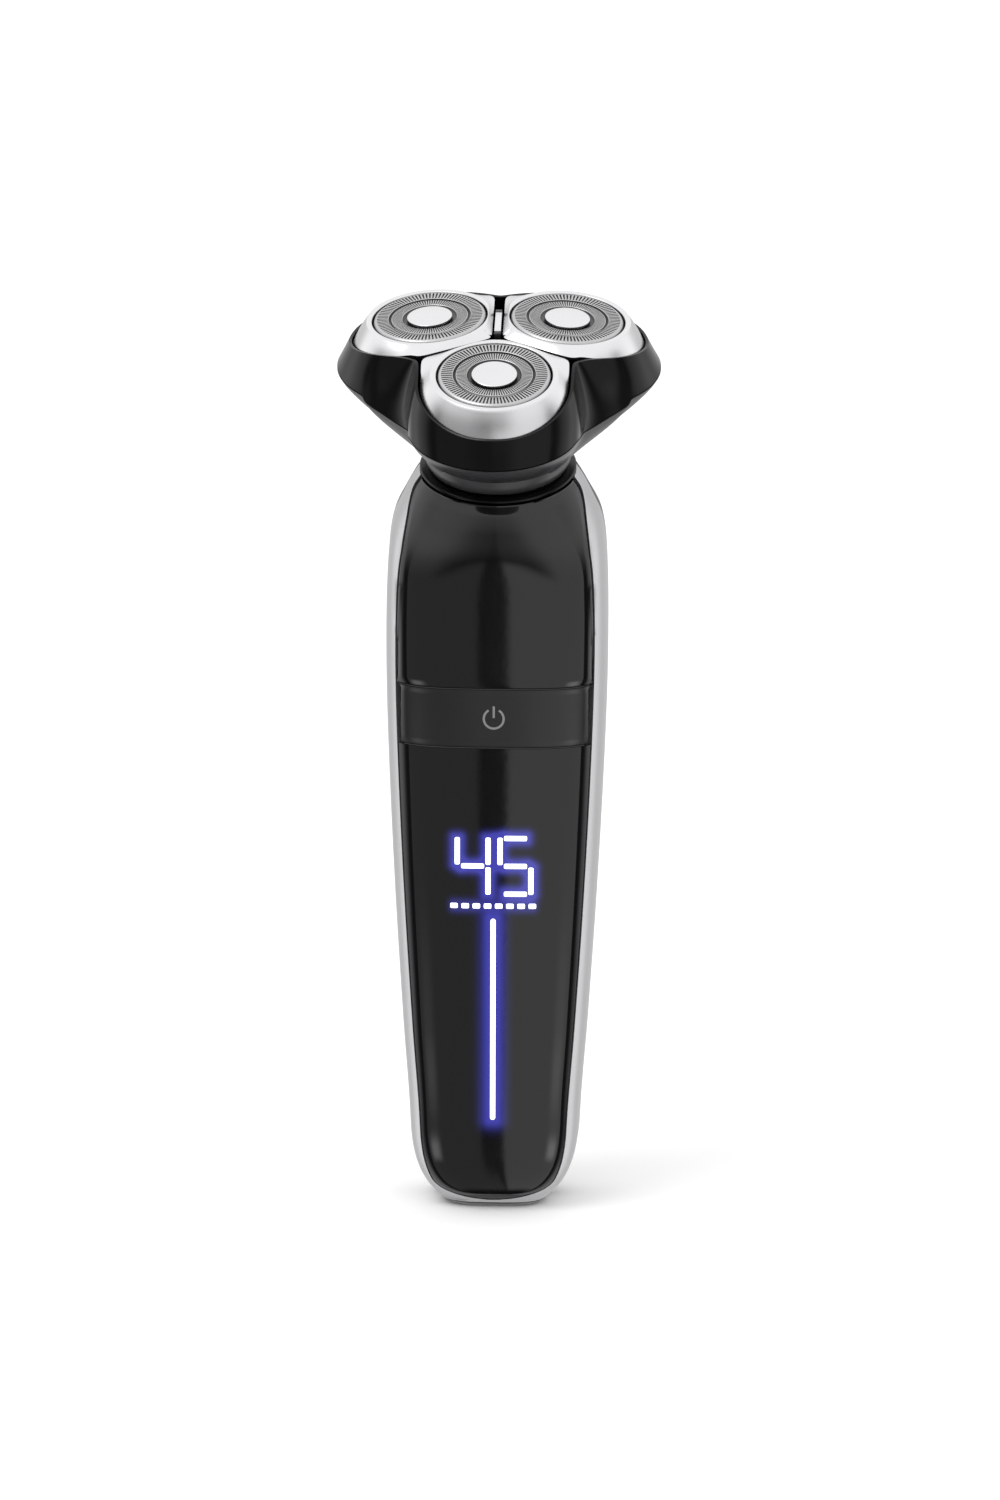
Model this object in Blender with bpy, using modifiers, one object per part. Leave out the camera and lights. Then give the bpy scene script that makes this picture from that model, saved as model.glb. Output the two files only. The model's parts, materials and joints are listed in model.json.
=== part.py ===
"""Electric rotary shaver: a tapered handle with a three-cutter shaving unit on its neck.

Upright on its base, +Z up, the front faces -Y, the origin is the middle of the flat base.
The neck and everything above it lean forwards, so they are built in a tilted head frame:
X to the right, Y towards the back of the shaver, Z out along the axis of the drive shaft.
"""
import math

import bmesh
import bpy
from mathutils import Matrix, Vector

MM = 0.001
GAP = 0.3 * MM
# a turned solid closes on its axis within a merge distance
AXIS_MM = 0.0005

# Handle
HEAD_TILT = math.radians(17.5)
NECK_HEIGHT = 144.6 * MM
RIM_HEIGHT = 143.4 * MM
BASE_EDGE = 0.9 * MM
WALL = 1.6 * MM
# height, half width, depth in front of the axis, depth behind it, all in millimetres
HANDLE_STATIONS = (
    (0.0, 16.0, 14.2, 13.8),
    (17.0, 16.3, 14.6, 14.2),
    (36.0, 17.7, 15.6, 14.6),
    (62.0, 19.35, 16.8, 15.6),
    (89.0, 20.65, 17.7, 17.4),
    (107.0, 21.15, 18.0, 18.3),
    (124.0, 21.0, 18.0, 18.3),
    (133.0, 20.1, 17.8, 17.8),
    (138.5, 17.8, 16.8, 16.8),
    (141.5, 16.3, 15.9, 15.9),
    (143.4, 15.0, 15.0, 15.0),
)
SQUARE_POWER = 3.4
ROUND_POWER = 2.0
HEEL_HEIGHT = 17.0 * MM
HEEL_OVERSHOOT = 1.5 * MM
HEEL_POWER = 2.5
FRAME_WIDTH = 2.45 * MM
FRAME_WIDTH_AT_RIM = 0.6 * MM
TONGUE_END = 1.9 * MM
TONGUE_SHOULDER = 5.5 * MM
FRAME_REAR_ANGLE = math.radians(98)
REAR_SEAM = math.radians(1.6)
BUTTON_BOTTOM = 92.5 * MM
BUTTON_TOP = 104.8 * MM
BUTTON_SIDE_GAP = 0.6 * MM

# Head, measured along the head axis from the neck and out from that axis
LOBES = {"front": -90, "right": 30, "left": 150}
CUTTER_REACH = 15.2 * MM
CUTTER_TILT = math.radians(5)
PIVOT_LEVEL = 21.0 * MM
PIVOT_REACH = CUTTER_REACH - 6.3 * MM * math.tan(CUTTER_TILT)
NECK_RADIUS = 14.2 * MM
BOWL_START = 3.2 * MM
BOWL_POWER = 1.25
SEAM_LEVEL = 16.2 * MM
SEAM_DIP = 4.2 * MM
# the seam starts to dip and ends its dip at these angles away from a lobe
SEAM_DIP_ANGLES = (math.radians(35), math.radians(58))
HOLDER_RISE_ANGLES = (math.radians(5), math.radians(58))
HOLDER_TOP = 21.4 * MM
HOLDER_RISE = 5.1 * MM
# reach of the lobe centre and radius of the lobe
SEAM_LOBE = (17.0 * MM, 16.3 * MM)
HOLDER_TOP_LOBE = (15.8 * MM, 15.0 * MM)
PLATE_SKIRT_LOBE = (15.9 * MM, 14.1 * MM)
PLATE_TOP_LOBE = (15.2 * MM, 13.2 * MM)
VALLEY_ROUNDING = 0.985
# seen from a cutter's centre, the cosine of the way to the valley beside its plate
VALLEY_DIRECTION = -0.42
CHAMBER_WALL = 1.3 * MM
PLATE_GAP = 0.35 * MM
BRIDGE_GAP = 1.0 * MM
PLATE_TOP = 6.2 * MM
PLATE_RIM = 12.2 * MM
PLATE_SKIN = 0.8 * MM
# the level of the plates' tops along the head axis, near enough to find their outlines
OUTLINE_LEVEL = 27.0 * MM
CAP_RADIUS = 10.75 * MM

CUTTER_BLADES = 9


def in_mm(pairs):
    return [(first * MM, second * MM) for first, second in pairs]


# Turned profiles, as radius and height above the tilt axis of the pod, in millimetres
CAP_PROFILE = in_mm((
    (4.0, 5.85), (5.0, 5.85), (5.2, 6.3), (7.3, 6.3), (7.45, 5.9), (7.75, 5.9), (7.9, 6.35),
    (10.2, 6.35), (10.75, 5.8), (10.75, 1.0), (10.2, 1.0), (10.2, 5.4), (4.0, 5.4)))
CUTTER_PROFILE = in_mm((
    (AXIS_MM, 4.8), (3.6, 4.8), (3.6, 3.6), (7.4, 3.6), (7.4, 5.1), (9.2, 5.1), (9.2, 2.8),
    (3.6, 2.8), (3.6, -1.5), (2.3, -1.5), (2.3, 3.9), (AXIS_MM, 3.9)))
POD_RING_PROFILE = in_mm((
    (11.1, 3.3), (11.75, 3.3), (11.75, -3.4), (9.9, -3.4), (9.9, -2.4), (11.1, -2.4)))

# Turned profiles, as radius and height above the neck along the head's axis, in millimetres
COLLAR_PROFILE = in_mm(((12.9, -0.3), (14.75, -0.3), (15.0, -0.5), (15.0, -0.8), (12.9, -0.8)))
DECK_PROFILE = in_mm(((3.4, -2.2), (13.0, -2.2), (13.0, -3.4), (3.4, -3.4)))
SEAL_PROFILE = in_mm((
    (11.9, -1.1), (12.5, -1.1), (12.7, -1.5), (12.5, -1.9), (11.9, -1.9), (11.7, -1.5)))
MOTOR_MOUNT_PROFILE = in_mm(((3.4, -6.4), (12.4, -6.4), (12.4, -7.7), (3.4, -7.7)))
MOTOR_CAN_PROFILE = in_mm((
    (2.0, -8.0), (7.7, -8.0), (8.2, -8.5), (8.2, -26.0), (7.7, -26.5), (AXIS_MM, -26.5),
    (AXIS_MM, -25.7), (7.4, -25.7), (7.4, -8.8), (2.0, -8.8)))
SHAFT_PROFILE = in_mm(((AXIS_MM, -1.9), (1.1, -1.9), (1.1, -9.0), (AXIS_MM, -9.0)))
ROTOR_PROFILE = in_mm((
    (AXIS_MM, -9.4), (6.2, -9.4), (6.6, -9.8), (6.6, -24.6), (6.2, -25.0), (AXIS_MM, -25.0)))
NECK_SKIRT_PROFILE = in_mm(((8.0, 1.0), (9.2, 1.0), (9.2, -1.9), (8.0, -1.9)))

# Inside the handle: radius and height of the cell, and of a screw along its own axis
CELL_PROFILE = in_mm((
    (AXIS_MM, 76.0), (2.6, 76.0), (2.6, 75.0), (6.4, 75.0), (7.0, 74.4), (7.0, 25.6), (6.4, 25.0),
    (AXIS_MM, 25.0)))
SCREW_PROFILE = in_mm((
    (AXIS_MM, 6.0), (1.3, 6.0), (1.9, 5.6), (1.9, 4.7), (1.0, 4.7), (1.0, 0.0), (AXIS_MM, 0.0)))
SCREW_START = 5.8 * MM
SCREW_PLACES = in_mm(((-6.8, 27.0), (-6.8, 103.0), (6.8, 27.0), (6.8, 103.0)))
SCREW_HOLE = 1.3 * MM
# lowest and highest corner of each box, in millimetres
BOARD_BOX = (-10.0, -11.0, 21.0), (10.0, -9.6, 110.0)
DISPLAY_BOX = (-9.0, -13.6, 60.5), (9.0, -11.3, 78.0)
LIGHT_GUIDE_BOX = (-0.9, -12.6, 21.5), (0.9, -11.3, 58.8)
SWITCH_BOX = (-3.0, -15.6, 95.6), (3.0, -11.3, 101.6)
CHASSIS_BOX = (-9.0, 8.6, 22.0), (9.0, 10.2, 108.0)
CHASSIS_WINDOWS = [((-4.0, 8.0, low), (4.0, 11.0, low + 14.0)) for low in (34.0, 58.0, 82.0)]
SOCKET_BOX = (-5.0, 0.7, 3.3), (5.0, 7.1, 11.0)
# the inlet goes up through the base and into the socket
INLET_BOX = (-4.0, 1.6, -1.0), (4.0, 6.2, 4.0)
SOCKET_CAVITY_BOX = (-4.0, 1.6, 2.0), (4.0, 6.2, 9.6)
CHARGE_PINS = {"left": -2.0 * MM, "right": 2.0 * MM}
CHARGE_PIN_RADIUS, CHARGE_PIN_DEPTH = 0.6 * MM, 3.9 * MM
CHARGE_PIN_ENDS = (4.4 * MM, 9.3 * MM)

# Drive train
SPINDLE_REACH = 14.75 * MM
CENTRE_TEETH = 22
SPINDLE_TEETH = 10
GEAR_LEVEL = 7.6 * MM
GEAR_THICKNESS = 1.6 * MM
GEAR_PLATE_LEVEL = 9.8 * MM
GEAR_PLATE_THICKNESS = 1.0 * MM
SPINDLE_FOOT = 6.2 * MM
SPINDLE_TOP = 23.0 * MM


# ---------------------------------------------------------------- scene and materials

def clear_scene():
    for obj in list(bpy.data.objects):
        bpy.data.objects.remove(obj, do_unlink=True)


def make_collection(name):
    collection = bpy.data.collections.new(name)
    bpy.context.scene.collection.children.link(collection)
    return collection


def make_material(name, colour, roughness, metallic=0.0):
    material = bpy.data.materials.new(name)
    material.use_nodes = True
    shader = material.node_tree.nodes["Principled BSDF"]
    shader.inputs["Base Color"].default_value = (*colour, 1.0)
    shader.inputs["Roughness"].default_value = roughness
    shader.inputs["Metallic"].default_value = metallic
    material.diffuse_color = (*colour, 1.0)
    return material


clear_scene()
PARTS = make_collection("electric_shaver")
CUTTERS = make_collection("cutters")

GLOSS_BLACK = make_material("gloss_black", (0.01, 0.01, 0.012), 0.08)
SATIN_BLACK = make_material("satin_black", (0.025, 0.025, 0.028), 0.4)
GREY_PLASTIC = make_material("grey_plastic", (0.06, 0.06, 0.065), 0.45)
SATIN_SILVER = make_material("satin_silver", (0.62, 0.62, 0.64), 0.35, 0.9)
BRIGHT_SILVER = make_material("bright_silver", (0.8, 0.8, 0.82), 0.18, 1.0)
CAP_STEEL = make_material("cap_steel", (0.5, 0.5, 0.51), 0.3, 1.0)
RUBBER = make_material("rubber", (0.02, 0.02, 0.02), 0.8)
GEAR_PLASTIC = make_material("gear_plastic", (0.75, 0.74, 0.7), 0.5)
BOARD_GREEN = make_material("board_green", (0.02, 0.16, 0.06), 0.5)
CELL_WRAP = make_material("cell_wrap", (0.08, 0.2, 0.42), 0.4)
BRASS = make_material("brass", (0.75, 0.55, 0.22), 0.3, 1.0)
CLEAR_GUIDE = make_material("clear_guide", (0.75, 0.8, 0.95), 0.2)


# ---------------------------------------------------------------- mesh helpers

def place(obj, material, parent=None, location=(0, 0, 0), rotation=(0, 0, 0)):
    if not obj.data.materials:
        obj.data.materials.append(material)
    PARTS.objects.link(obj)
    obj.parent = parent
    obj.location = location
    obj.rotation_euler = rotation
    return obj


def make_object(name, bm, material, parent=None, location=(0, 0, 0), rotation=(0, 0, 0)):
    bmesh.ops.remove_doubles(bm, verts=bm.verts, dist=1e-7)
    bmesh.ops.recalc_face_normals(bm, faces=bm.faces)
    mesh = bpy.data.meshes.new(name)
    bm.to_mesh(mesh)
    bm.free()
    mesh.shade_smooth()
    mesh.set_sharp_from_angle(angle=math.radians(35))
    return place(bpy.data.objects.new(name, mesh), material, parent, location, rotation)


def make_empty(name, parent=None, matrix=None):
    empty = bpy.data.objects.new(name, None)
    PARTS.objects.link(empty)
    empty.parent = parent
    if matrix is not None:
        empty.matrix_local = matrix
    return empty


def cylinder(bm, radius, bottom, top, segments=24, centre=(0, 0), top_radius=None):
    """A capped cylinder or cone along Z, between two heights."""
    made = bmesh.ops.create_cone(
        bm, cap_ends=True, segments=segments, radius1=radius,
        radius2=radius if top_radius is None else top_radius, depth=top - bottom)
    bmesh.ops.translate(bm, verts=made["verts"], vec=(centre[0], centre[1], (bottom + top) / 2))
    return made["verts"]


def block(bm, low, high):
    """A box between two corners given in millimetres."""
    made = bmesh.ops.create_cube(bm, size=1.0)
    low, high = Vector(low) * MM, Vector(high) * MM
    bmesh.ops.scale(bm, verts=made["verts"], vec=high - low)
    bmesh.ops.translate(bm, verts=made["verts"], vec=(low + high) / 2)
    return made["verts"]


def rounded_block(name, box, edge, material, parent=None):
    bm = bmesh.new()
    block(bm, *box)
    bmesh.ops.bevel(bm, geom=bm.edges[:], offset=edge, segments=2, profile=0.5, affect="EDGES",
                    material=-1)
    return make_object(name, bm, material, parent)


def turned(name, profile, material, parent=None, segments=28):
    """A closed profile of (radius, height) pairs turned about Z with a Screw modifier."""
    bm = bmesh.new()
    corners = [bm.verts.new((radius, 0, height)) for radius, height in profile]
    for first, second in zip(corners, corners[1:] + corners[:1]):
        bm.edges.new((first, second))
    mesh = bpy.data.meshes.new(name)
    bm.to_mesh(mesh)
    bm.free()
    obj = place(bpy.data.objects.new(name, mesh), material, parent)
    screw = obj.modifiers.new("turn", "SCREW")
    screw.steps = segments
    screw.render_steps = segments
    screw.use_merge_vertices = True
    screw.merge_threshold = 1e-6
    return obj


def ring_loft(bm, rings, closed):
    """Quads between successive rings of points, which all have the same number of points."""
    loops = [[bm.verts.new(point) for point in ring] for ring in rings]
    pairs = list(zip(loops, loops[1:]))
    if closed:
        pairs.append((loops[-1], loops[0]))
    for low, high in pairs:
        for index in range(len(low)):
            after = (index + 1) % len(low)
            bm.faces.new((low[index], low[after], high[after], high[index]))
    if not closed:
        bm.faces.new(loops[0][::-1])
        bm.faces.new(loops[-1])


def subtract(obj, bm, name):
    """Cut a solid out of an object; the cutter shares the object's frame."""
    bmesh.ops.recalc_face_normals(bm, faces=bm.faces)
    mesh = bpy.data.meshes.new(name)
    bm.to_mesh(mesh)
    bm.free()
    cutter = bpy.data.objects.new(name, mesh)
    CUTTERS.objects.link(cutter)
    cutter.parent = obj
    cutter.hide_render = True
    cutter.display_type = "WIRE"
    modifier = obj.modifiers.new(name, "BOOLEAN")
    modifier.operation = "DIFFERENCE"
    modifier.object = cutter
    modifier.solver = "EXACT"


def unite(name, solids, material, parent=None):
    """One closed body from several overlapping closed meshes, joined by Boolean unions."""
    first, *others = solids
    obj = make_object(name, first, material, parent)
    for index, bm in enumerate(others):
        mesh = bpy.data.meshes.new(f"{name}_piece_{index}")
        bmesh.ops.recalc_face_normals(bm, faces=bm.faces)
        bm.to_mesh(mesh)
        bm.free()
        piece = bpy.data.objects.new(f"{name}_piece_{index}", mesh)
        CUTTERS.objects.link(piece)
        piece.parent = obj
        piece.hide_render = True
        piece.display_type = "WIRE"
        modifier = obj.modifiers.new(f"join_{index}", "BOOLEAN")
        modifier.operation = "UNION"
        modifier.object = piece
        modifier.solver = "EXACT"
    return obj


def smooth_step(value, low, high):
    share = min(1.0, max(0.0, (value - low) / (high - low)))
    return share * share * (3 - 2 * share)


def through_stations(height, column):
    """Smooth curve through one column of the handle's stations (cubic Hermite)."""
    rows = HANDLE_STATIONS
    level = min(max(height / MM, rows[0][0]), rows[-1][0])
    index = max(i for i in range(len(rows) - 1) if rows[i][0] <= level)

    def slope(i):
        low, high = rows[max(i - 1, 0)], rows[min(i + 1, len(rows) - 1)]
        return (high[column] - low[column]) / (high[0] - low[0])

    start, end = rows[index], rows[index + 1]
    span = end[0] - start[0]
    s = (level - start[0]) / span
    value = ((2 * s ** 3 - 3 * s ** 2 + 1) * start[column]
             + (s ** 3 - 2 * s ** 2 + s) * span * slope(index)
             + (3 * s ** 2 - 2 * s ** 3) * end[column]
             + (s ** 3 - s ** 2) * span * slope(index + 1))
    return value * MM


# ---------------------------------------------------------------- the handle's outer surface

def heel_share(height):
    """How far the section has opened above the rounded heel, from 0 to 1."""
    if height >= HEEL_HEIGHT:
        return 1.0
    drop = (HEEL_HEIGHT - height) / (HEEL_HEIGHT + HEEL_OVERSHOOT)
    return (1 - drop ** HEEL_POWER) ** (1 / HEEL_POWER)


def handle_section(height):
    share = heel_share(height)
    power = SQUARE_POWER + (ROUND_POWER - SQUARE_POWER) * smooth_step(height, 126 * MM, RIM_HEIGHT)
    half_width, front, back = (through_stations(height, column) * share for column in (1, 2, 3))
    return half_width, front, back, power


def skin_point(angle, height):
    """A point of the handle's skin: angle 0 is the front, positive towards +X."""
    half_width, front, back, power = handle_section(height)
    across, along = math.sin(angle), -math.cos(angle)
    depth = front if along < 0 else back
    radius = (abs(across / half_width) ** power + abs(along / depth) ** power) ** (-1 / power)
    x, y = radius * across, radius * along
    lean = smooth_step(height, 96 * MM, 141 * MM)
    return Vector((x, y * (1 - lean * (1 - math.cos(HEAD_TILT))),
                   height + lean * y * math.sin(HEAD_TILT)))


def handle_point(angle, height, depth=0.0):
    """A point below the skin, or above it where the depth is negative."""
    turn, rise = 0.002, 0.02 * MM
    around = skin_point(angle + turn, height) - skin_point(angle - turn, height)
    upwards = skin_point(angle, height + rise) - skin_point(angle, height - rise)
    return skin_point(angle, height) - around.cross(upwards).normalized() * depth


def panel_angle(height, outset=0.0):
    """The angle at which the front panel ends and the side frame begins."""
    half_width, front, _, power = handle_section(height)
    width = FRAME_WIDTH + (FRAME_WIDTH_AT_RIM - FRAME_WIDTH) * smooth_step(height, 132 * MM, 142 * MM)
    edge = half_width - width + outset
    if height < TONGUE_SHOULDER:
        drop = (TONGUE_SHOULDER - height) / (TONGUE_SHOULDER - TONGUE_END + outset)
        edge *= math.sqrt(max(0.02, 1 - drop ** 2))
    y = front * (1 - (edge / half_width) ** power) ** (1 / power)
    return math.atan2(edge, y)


def frame_height(height):
    """Where the frame's inner edge passes a point of the panel's edge, one gap below its end."""
    if height >= TONGUE_SHOULDER:
        return height
    stretch = 1 + GAP / (TONGUE_SHOULDER - TONGUE_END)
    return TONGUE_SHOULDER - (TONGUE_SHOULDER - height) * stretch


def bent_slab(name, surface, columns, rows, thickness, material, parent=None):
    """A shell: a flat slab of grid cells bent onto a surface of two shares and a depth."""
    bm = bmesh.new()
    bmesh.ops.create_grid(bm, x_segments=columns, y_segments=rows, size=1.0)
    walls = bmesh.ops.extrude_face_region(bm, geom=bm.faces[:], use_keep_orig=True)
    below = [item for item in walls["geom"] if isinstance(item, bmesh.types.BMVert)]
    bmesh.ops.translate(bm, verts=below, vec=(0, 0, -1))
    for vert in bm.verts:
        vert.co = surface((vert.co.x + 1) / 2, (vert.co.y + 1) / 2, -vert.co.z * thickness)
    return make_object(name, bm, material, parent)


def row_heights(low, high, rows):
    """Rows spaced closer where the skin bends, at the heel and at the shoulder."""
    weights = []
    for row in range(rows):
        middle = low + (high - low) * (row + 0.5) / rows
        weights.append(1.0 - 0.75 * smooth_step(middle, 124 * MM, 134 * MM)
                       - 0.8 * (1 - smooth_step(middle, 4 * MM, 18 * MM)))
    heights, total = [low], sum(weights)
    for weight in weights:
        heights.append(heights[-1] + (high - low) * weight / total)
    return heights


def front_slab(name, heights, material, outset=0.0, parent=None, columns=10):
    rows = len(heights) - 1

    def surface(u, v, depth):
        height = heights[round(v * rows)]
        return handle_point((2 * u - 1) * panel_angle(height, outset), height, depth)

    bent_slab(name, surface, columns, rows, WALL, material, parent)


def make_handle_shells(handle, button):
    lower = row_heights(TONGUE_END, BUTTON_BOTTOM - GAP / 2, 12)
    middle = row_heights(BUTTON_BOTTOM + GAP / 2, BUTTON_TOP - GAP / 2, 2)
    upper = row_heights(BUTTON_TOP + GAP / 2, RIM_HEIGHT, 8)
    front_slab("front_panel_lower", lower, GLOSS_BLACK, 0, handle)
    front_slab("front_panel_upper", upper, GLOSS_BLACK, 0, handle)
    front_slab("power_button", middle, SATIN_BLACK, -BUTTON_SIDE_GAP, button)

    legs = [frame_height(height) for height in lower + upper]
    steps = len(legs) - 1
    turn = 3
    columns = 2 * (steps + turn)

    def frame_surface(u, v, depth):
        stop = round(u * columns)
        side = -1 if stop < steps + turn else 1
        rank = min(stop, columns - stop)
        if rank <= steps:
            height = legs[steps - rank]
            inner_angle, outer_angle = panel_angle(height, GAP), FRAME_REAR_ANGLE
            low = BASE_EDGE + (height - legs[0]) * (RIM_HEIGHT - BASE_EDGE) / (RIM_HEIGHT - legs[0])
        else:
            share = 1 - (rank - steps) / turn
            height, low = legs[0], BASE_EDGE
            inner_angle, outer_angle = panel_angle(height, GAP) * share, FRAME_REAR_ANGLE * share
        across = 1 - v
        return handle_point(side * (inner_angle + (outer_angle - inner_angle) * across),
                            height + (low - height) * across, depth)

    bent_slab("side_frame", frame_surface, columns, 3, WALL, SATIN_SILVER, handle)

    rear = row_heights(BASE_EDGE, RIM_HEIGHT, 16)

    def rear_surface(u, v, depth):
        start = FRAME_REAR_ANGLE + REAR_SEAM
        return handle_point(start + 2 * (math.pi - start) * u, rear[round(v * 16)], depth)

    bent_slab("rear_cover", rear_surface, 12, 16, WALL, SATIN_BLACK, handle)

    def grip_surface(u, v, depth):
        height = (28 + 88 * v) * MM
        half_angle = math.radians(44) * (1 - 0.35 * abs(2 * v - 1) ** 6)
        return handle_point(math.pi + half_angle * (2 * u - 1), height, depth - 1.1 * MM)

    bent_slab("rear_grip", grip_surface, 8, 12, 0.8 * MM, RUBBER, handle)


def make_base(handle):
    def ring(height, shrink, level=None):
        points = []
        for step in range(32):
            point = handle_point(2 * math.pi * step / 32, height)
            points.append(Vector((point.x * shrink, point.y * shrink, height if level is None else level)))
        return points

    bm = bmesh.new()
    edge = BASE_EDGE - GAP
    ring_loft(bm, [ring(0, 1), ring(edge, 1), ring(edge, 0.74), ring(edge, 0.74, 3.0 * MM)], False)
    base = make_object("base_cap", bm, SATIN_BLACK, handle)
    inlet = bmesh.new()
    block(inlet, *INLET_BOX)
    subtract(base, inlet, "inlet_cut")

    bm = bmesh.new()
    block(bm, *SOCKET_BOX)
    socket = make_object("charge_socket", bm, SATIN_BLACK, handle)
    cavity = bmesh.new()
    block(cavity, *SOCKET_CAVITY_BOX)
    subtract(socket, cavity, "socket_cut")
    for side, x in CHARGE_PINS.items():
        bm = bmesh.new()
        cylinder(bm, CHARGE_PIN_RADIUS, *CHARGE_PIN_ENDS, 12, (x, CHARGE_PIN_DEPTH))
        make_object(f"charge_pin_{side}", bm, BRASS, handle)


def make_electronics(handle):
    rounded_block("circuit_board", BOARD_BOX, 0.3 * MM, BOARD_GREEN, handle)
    rounded_block("display_module", DISPLAY_BOX, 0.4 * MM, SATIN_BLACK, handle)
    rounded_block("light_guide", LIGHT_GUIDE_BOX, 0.3 * MM, CLEAR_GUIDE, handle)
    rounded_block("tact_switch", SWITCH_BOX, 0.4 * MM, SATIN_BLACK, handle)
    turned("battery_cell", CELL_PROFILE, CELL_WRAP, handle, 20)

    bm = bmesh.new()
    block(bm, *CHASSIS_BOX)
    chassis = make_object("chassis", bm, GREY_PLASTIC, handle)
    windows = bmesh.new()
    for window in CHASSIS_WINDOWS:
        block(windows, *window)
    subtract(chassis, windows, "chassis_windows")
    chassis_middle = (CHASSIS_BOX[0][1] + CHASSIS_BOX[1][1]) / 2 * MM
    for index, (x, z) in enumerate(SCREW_PLACES):
        drill = bmesh.new()
        cylinder(drill, SCREW_HOLE, -3 * MM, 3 * MM, 16)
        bmesh.ops.rotate(drill, verts=drill.verts, matrix=Matrix.Rotation(math.pi / 2, 3, "X"))
        bmesh.ops.translate(drill, verts=drill.verts, vec=(x, chassis_middle, z))
        subtract(chassis, drill, f"screw_hole_{index}")
        screw = turned(f"chassis_screw_{index + 1}", SCREW_PROFILE, BRIGHT_SILVER, handle, 10)
        screw.location = (x, SCREW_START, z)
        screw.rotation_euler = (-math.pi / 2, 0, 0)


def make_neck(neck):
    """The parts in the top of the handle, in the tilted frame of the neck."""
    turned("neck_collar", COLLAR_PROFILE, GREY_PLASTIC, neck, 36)
    turned("neck_deck", DECK_PROFILE, SATIN_BLACK, neck, 32)
    turned("neck_seal", SEAL_PROFILE, RUBBER, neck, 28)
    turned("motor_mount", MOTOR_MOUNT_PROFILE, GREY_PLASTIC, neck, 28)
    turned("motor_can", MOTOR_CAN_PROFILE, BRIGHT_SILVER, neck, 24)


def make_drive(shaft):
    turned("drive_shaft", SHAFT_PROFILE, BRIGHT_SILVER, shaft, 16)
    turned("motor_rotor", ROTOR_PROFILE, BRIGHT_SILVER, shaft, 20)
    bm = bmesh.new()
    cylinder(bm, 2.5 * MM, -1.6 * MM, 3.4 * MM, 6, top_radius=2.1 * MM)
    make_object("drive_coupling", bm, GEAR_PLASTIC, shaft)


# ---------------------------------------------------------------- outlines of the three-lobed head

def valley_angle(angle):
    """Angle to the nearest lobe, rounded where two lobes meet."""
    return math.acos(VALLEY_ROUNDING * math.cos(3 * (angle - math.radians(30)))) / 3


def lobe_radius(away, lobe):
    """Distance of the outline at an angle away from a lobe: round tip, straight sides."""
    reach, radius = lobe
    if math.tan(away) < radius / reach:
        return reach * math.cos(away) + math.sqrt(radius ** 2 - (reach * math.sin(away)) ** 2)
    return radius / math.sin(away)


def inset_lobe(lobe, inset):
    return lobe[0], lobe[1] - inset


def seam_level(away):
    return SEAM_LEVEL - SEAM_DIP * smooth_step(away, *SEAM_DIP_ANGLES)


def holder_level(away):
    return HOLDER_TOP + HOLDER_RISE * smooth_step(away, *HOLDER_RISE_ANGLES)


def lobed_ring(count, radius_at, level_at):
    points = []
    for step in range(count):
        angle = math.radians(30) + 2 * math.pi * step / count
        away = valley_angle(angle)
        radius = radius_at(away)
        points.append(Vector((radius * math.cos(angle), radius * math.sin(angle), level_at(away))))
    return points


def bowl_ring(share, inset, count=42):
    """A ring of the hair chamber's wall, from the neck at 0 to the seam at 1."""
    spread = 1 - (1 - share) ** BOWL_POWER

    def radius_at(away):
        seam = lobe_radius(away, SEAM_LOBE)
        return NECK_RADIUS + (seam - NECK_RADIUS) * spread - inset

    def level_at(away):
        return BOWL_START + (seam_level(away) - GAP / 2 - BOWL_START) * share

    return lobed_ring(count, radius_at, level_at)


def round_ring(radius, level, count=42):
    return lobed_ring(count, lambda away: radius, lambda away: level)


def make_hair_chamber(unit):
    bore = 3.9 * MM
    rings = [round_ring(bore, 1.3 * MM), round_ring(NECK_RADIUS - CHAMBER_WALL, 1.3 * MM),
             round_ring(NECK_RADIUS - CHAMBER_WALL, 0), round_ring(NECK_RADIUS, 0)]
    rings += [bowl_ring(share, 0) for share in (0, 0.12, 0.28, 0.5, 0.75, 1)]
    rings += [bowl_ring(share, CHAMBER_WALL) for share in (1, 0.75, 0.5, 0.28, 0.14)]
    rings += [round_ring(NECK_RADIUS - CHAMBER_WALL, 2.6 * MM), round_ring(bore, 2.6 * MM)]
    bm = bmesh.new()
    ring_loft(bm, rings, True)
    make_object("hair_chamber", bm, GREY_PLASTIC, unit)
    turned("neck_skirt", NECK_SKIRT_PROFILE, SATIN_BLACK, unit, 28)

    bm = bmesh.new()
    plate = (6.0 * MM, 11.6 * MM)
    rings = [lobed_ring(36, lambda away: lobe_radius(away, plate), lambda away, z=z: z)
             for z in (GEAR_PLATE_LEVEL, GEAR_PLATE_LEVEL + GEAR_PLATE_THICKNESS)]
    ring_loft(bm, rings, False)
    gear_plate = make_object("gear_plate", bm, SATIN_BLACK, unit)
    holes = bmesh.new()
    for heading in LOBES.values():
        x, y = spot(SPINDLE_REACH, heading)
        cylinder(holes, 1.75 * MM, GEAR_PLATE_LEVEL - MM, GEAR_PLATE_LEVEL + 2 * MM, 14, (x, y))
    subtract(gear_plate, holes, "spindle_holes")


def spot(reach, heading):
    angle = math.radians(heading)
    return reach * math.cos(angle), reach * math.sin(angle)


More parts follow.
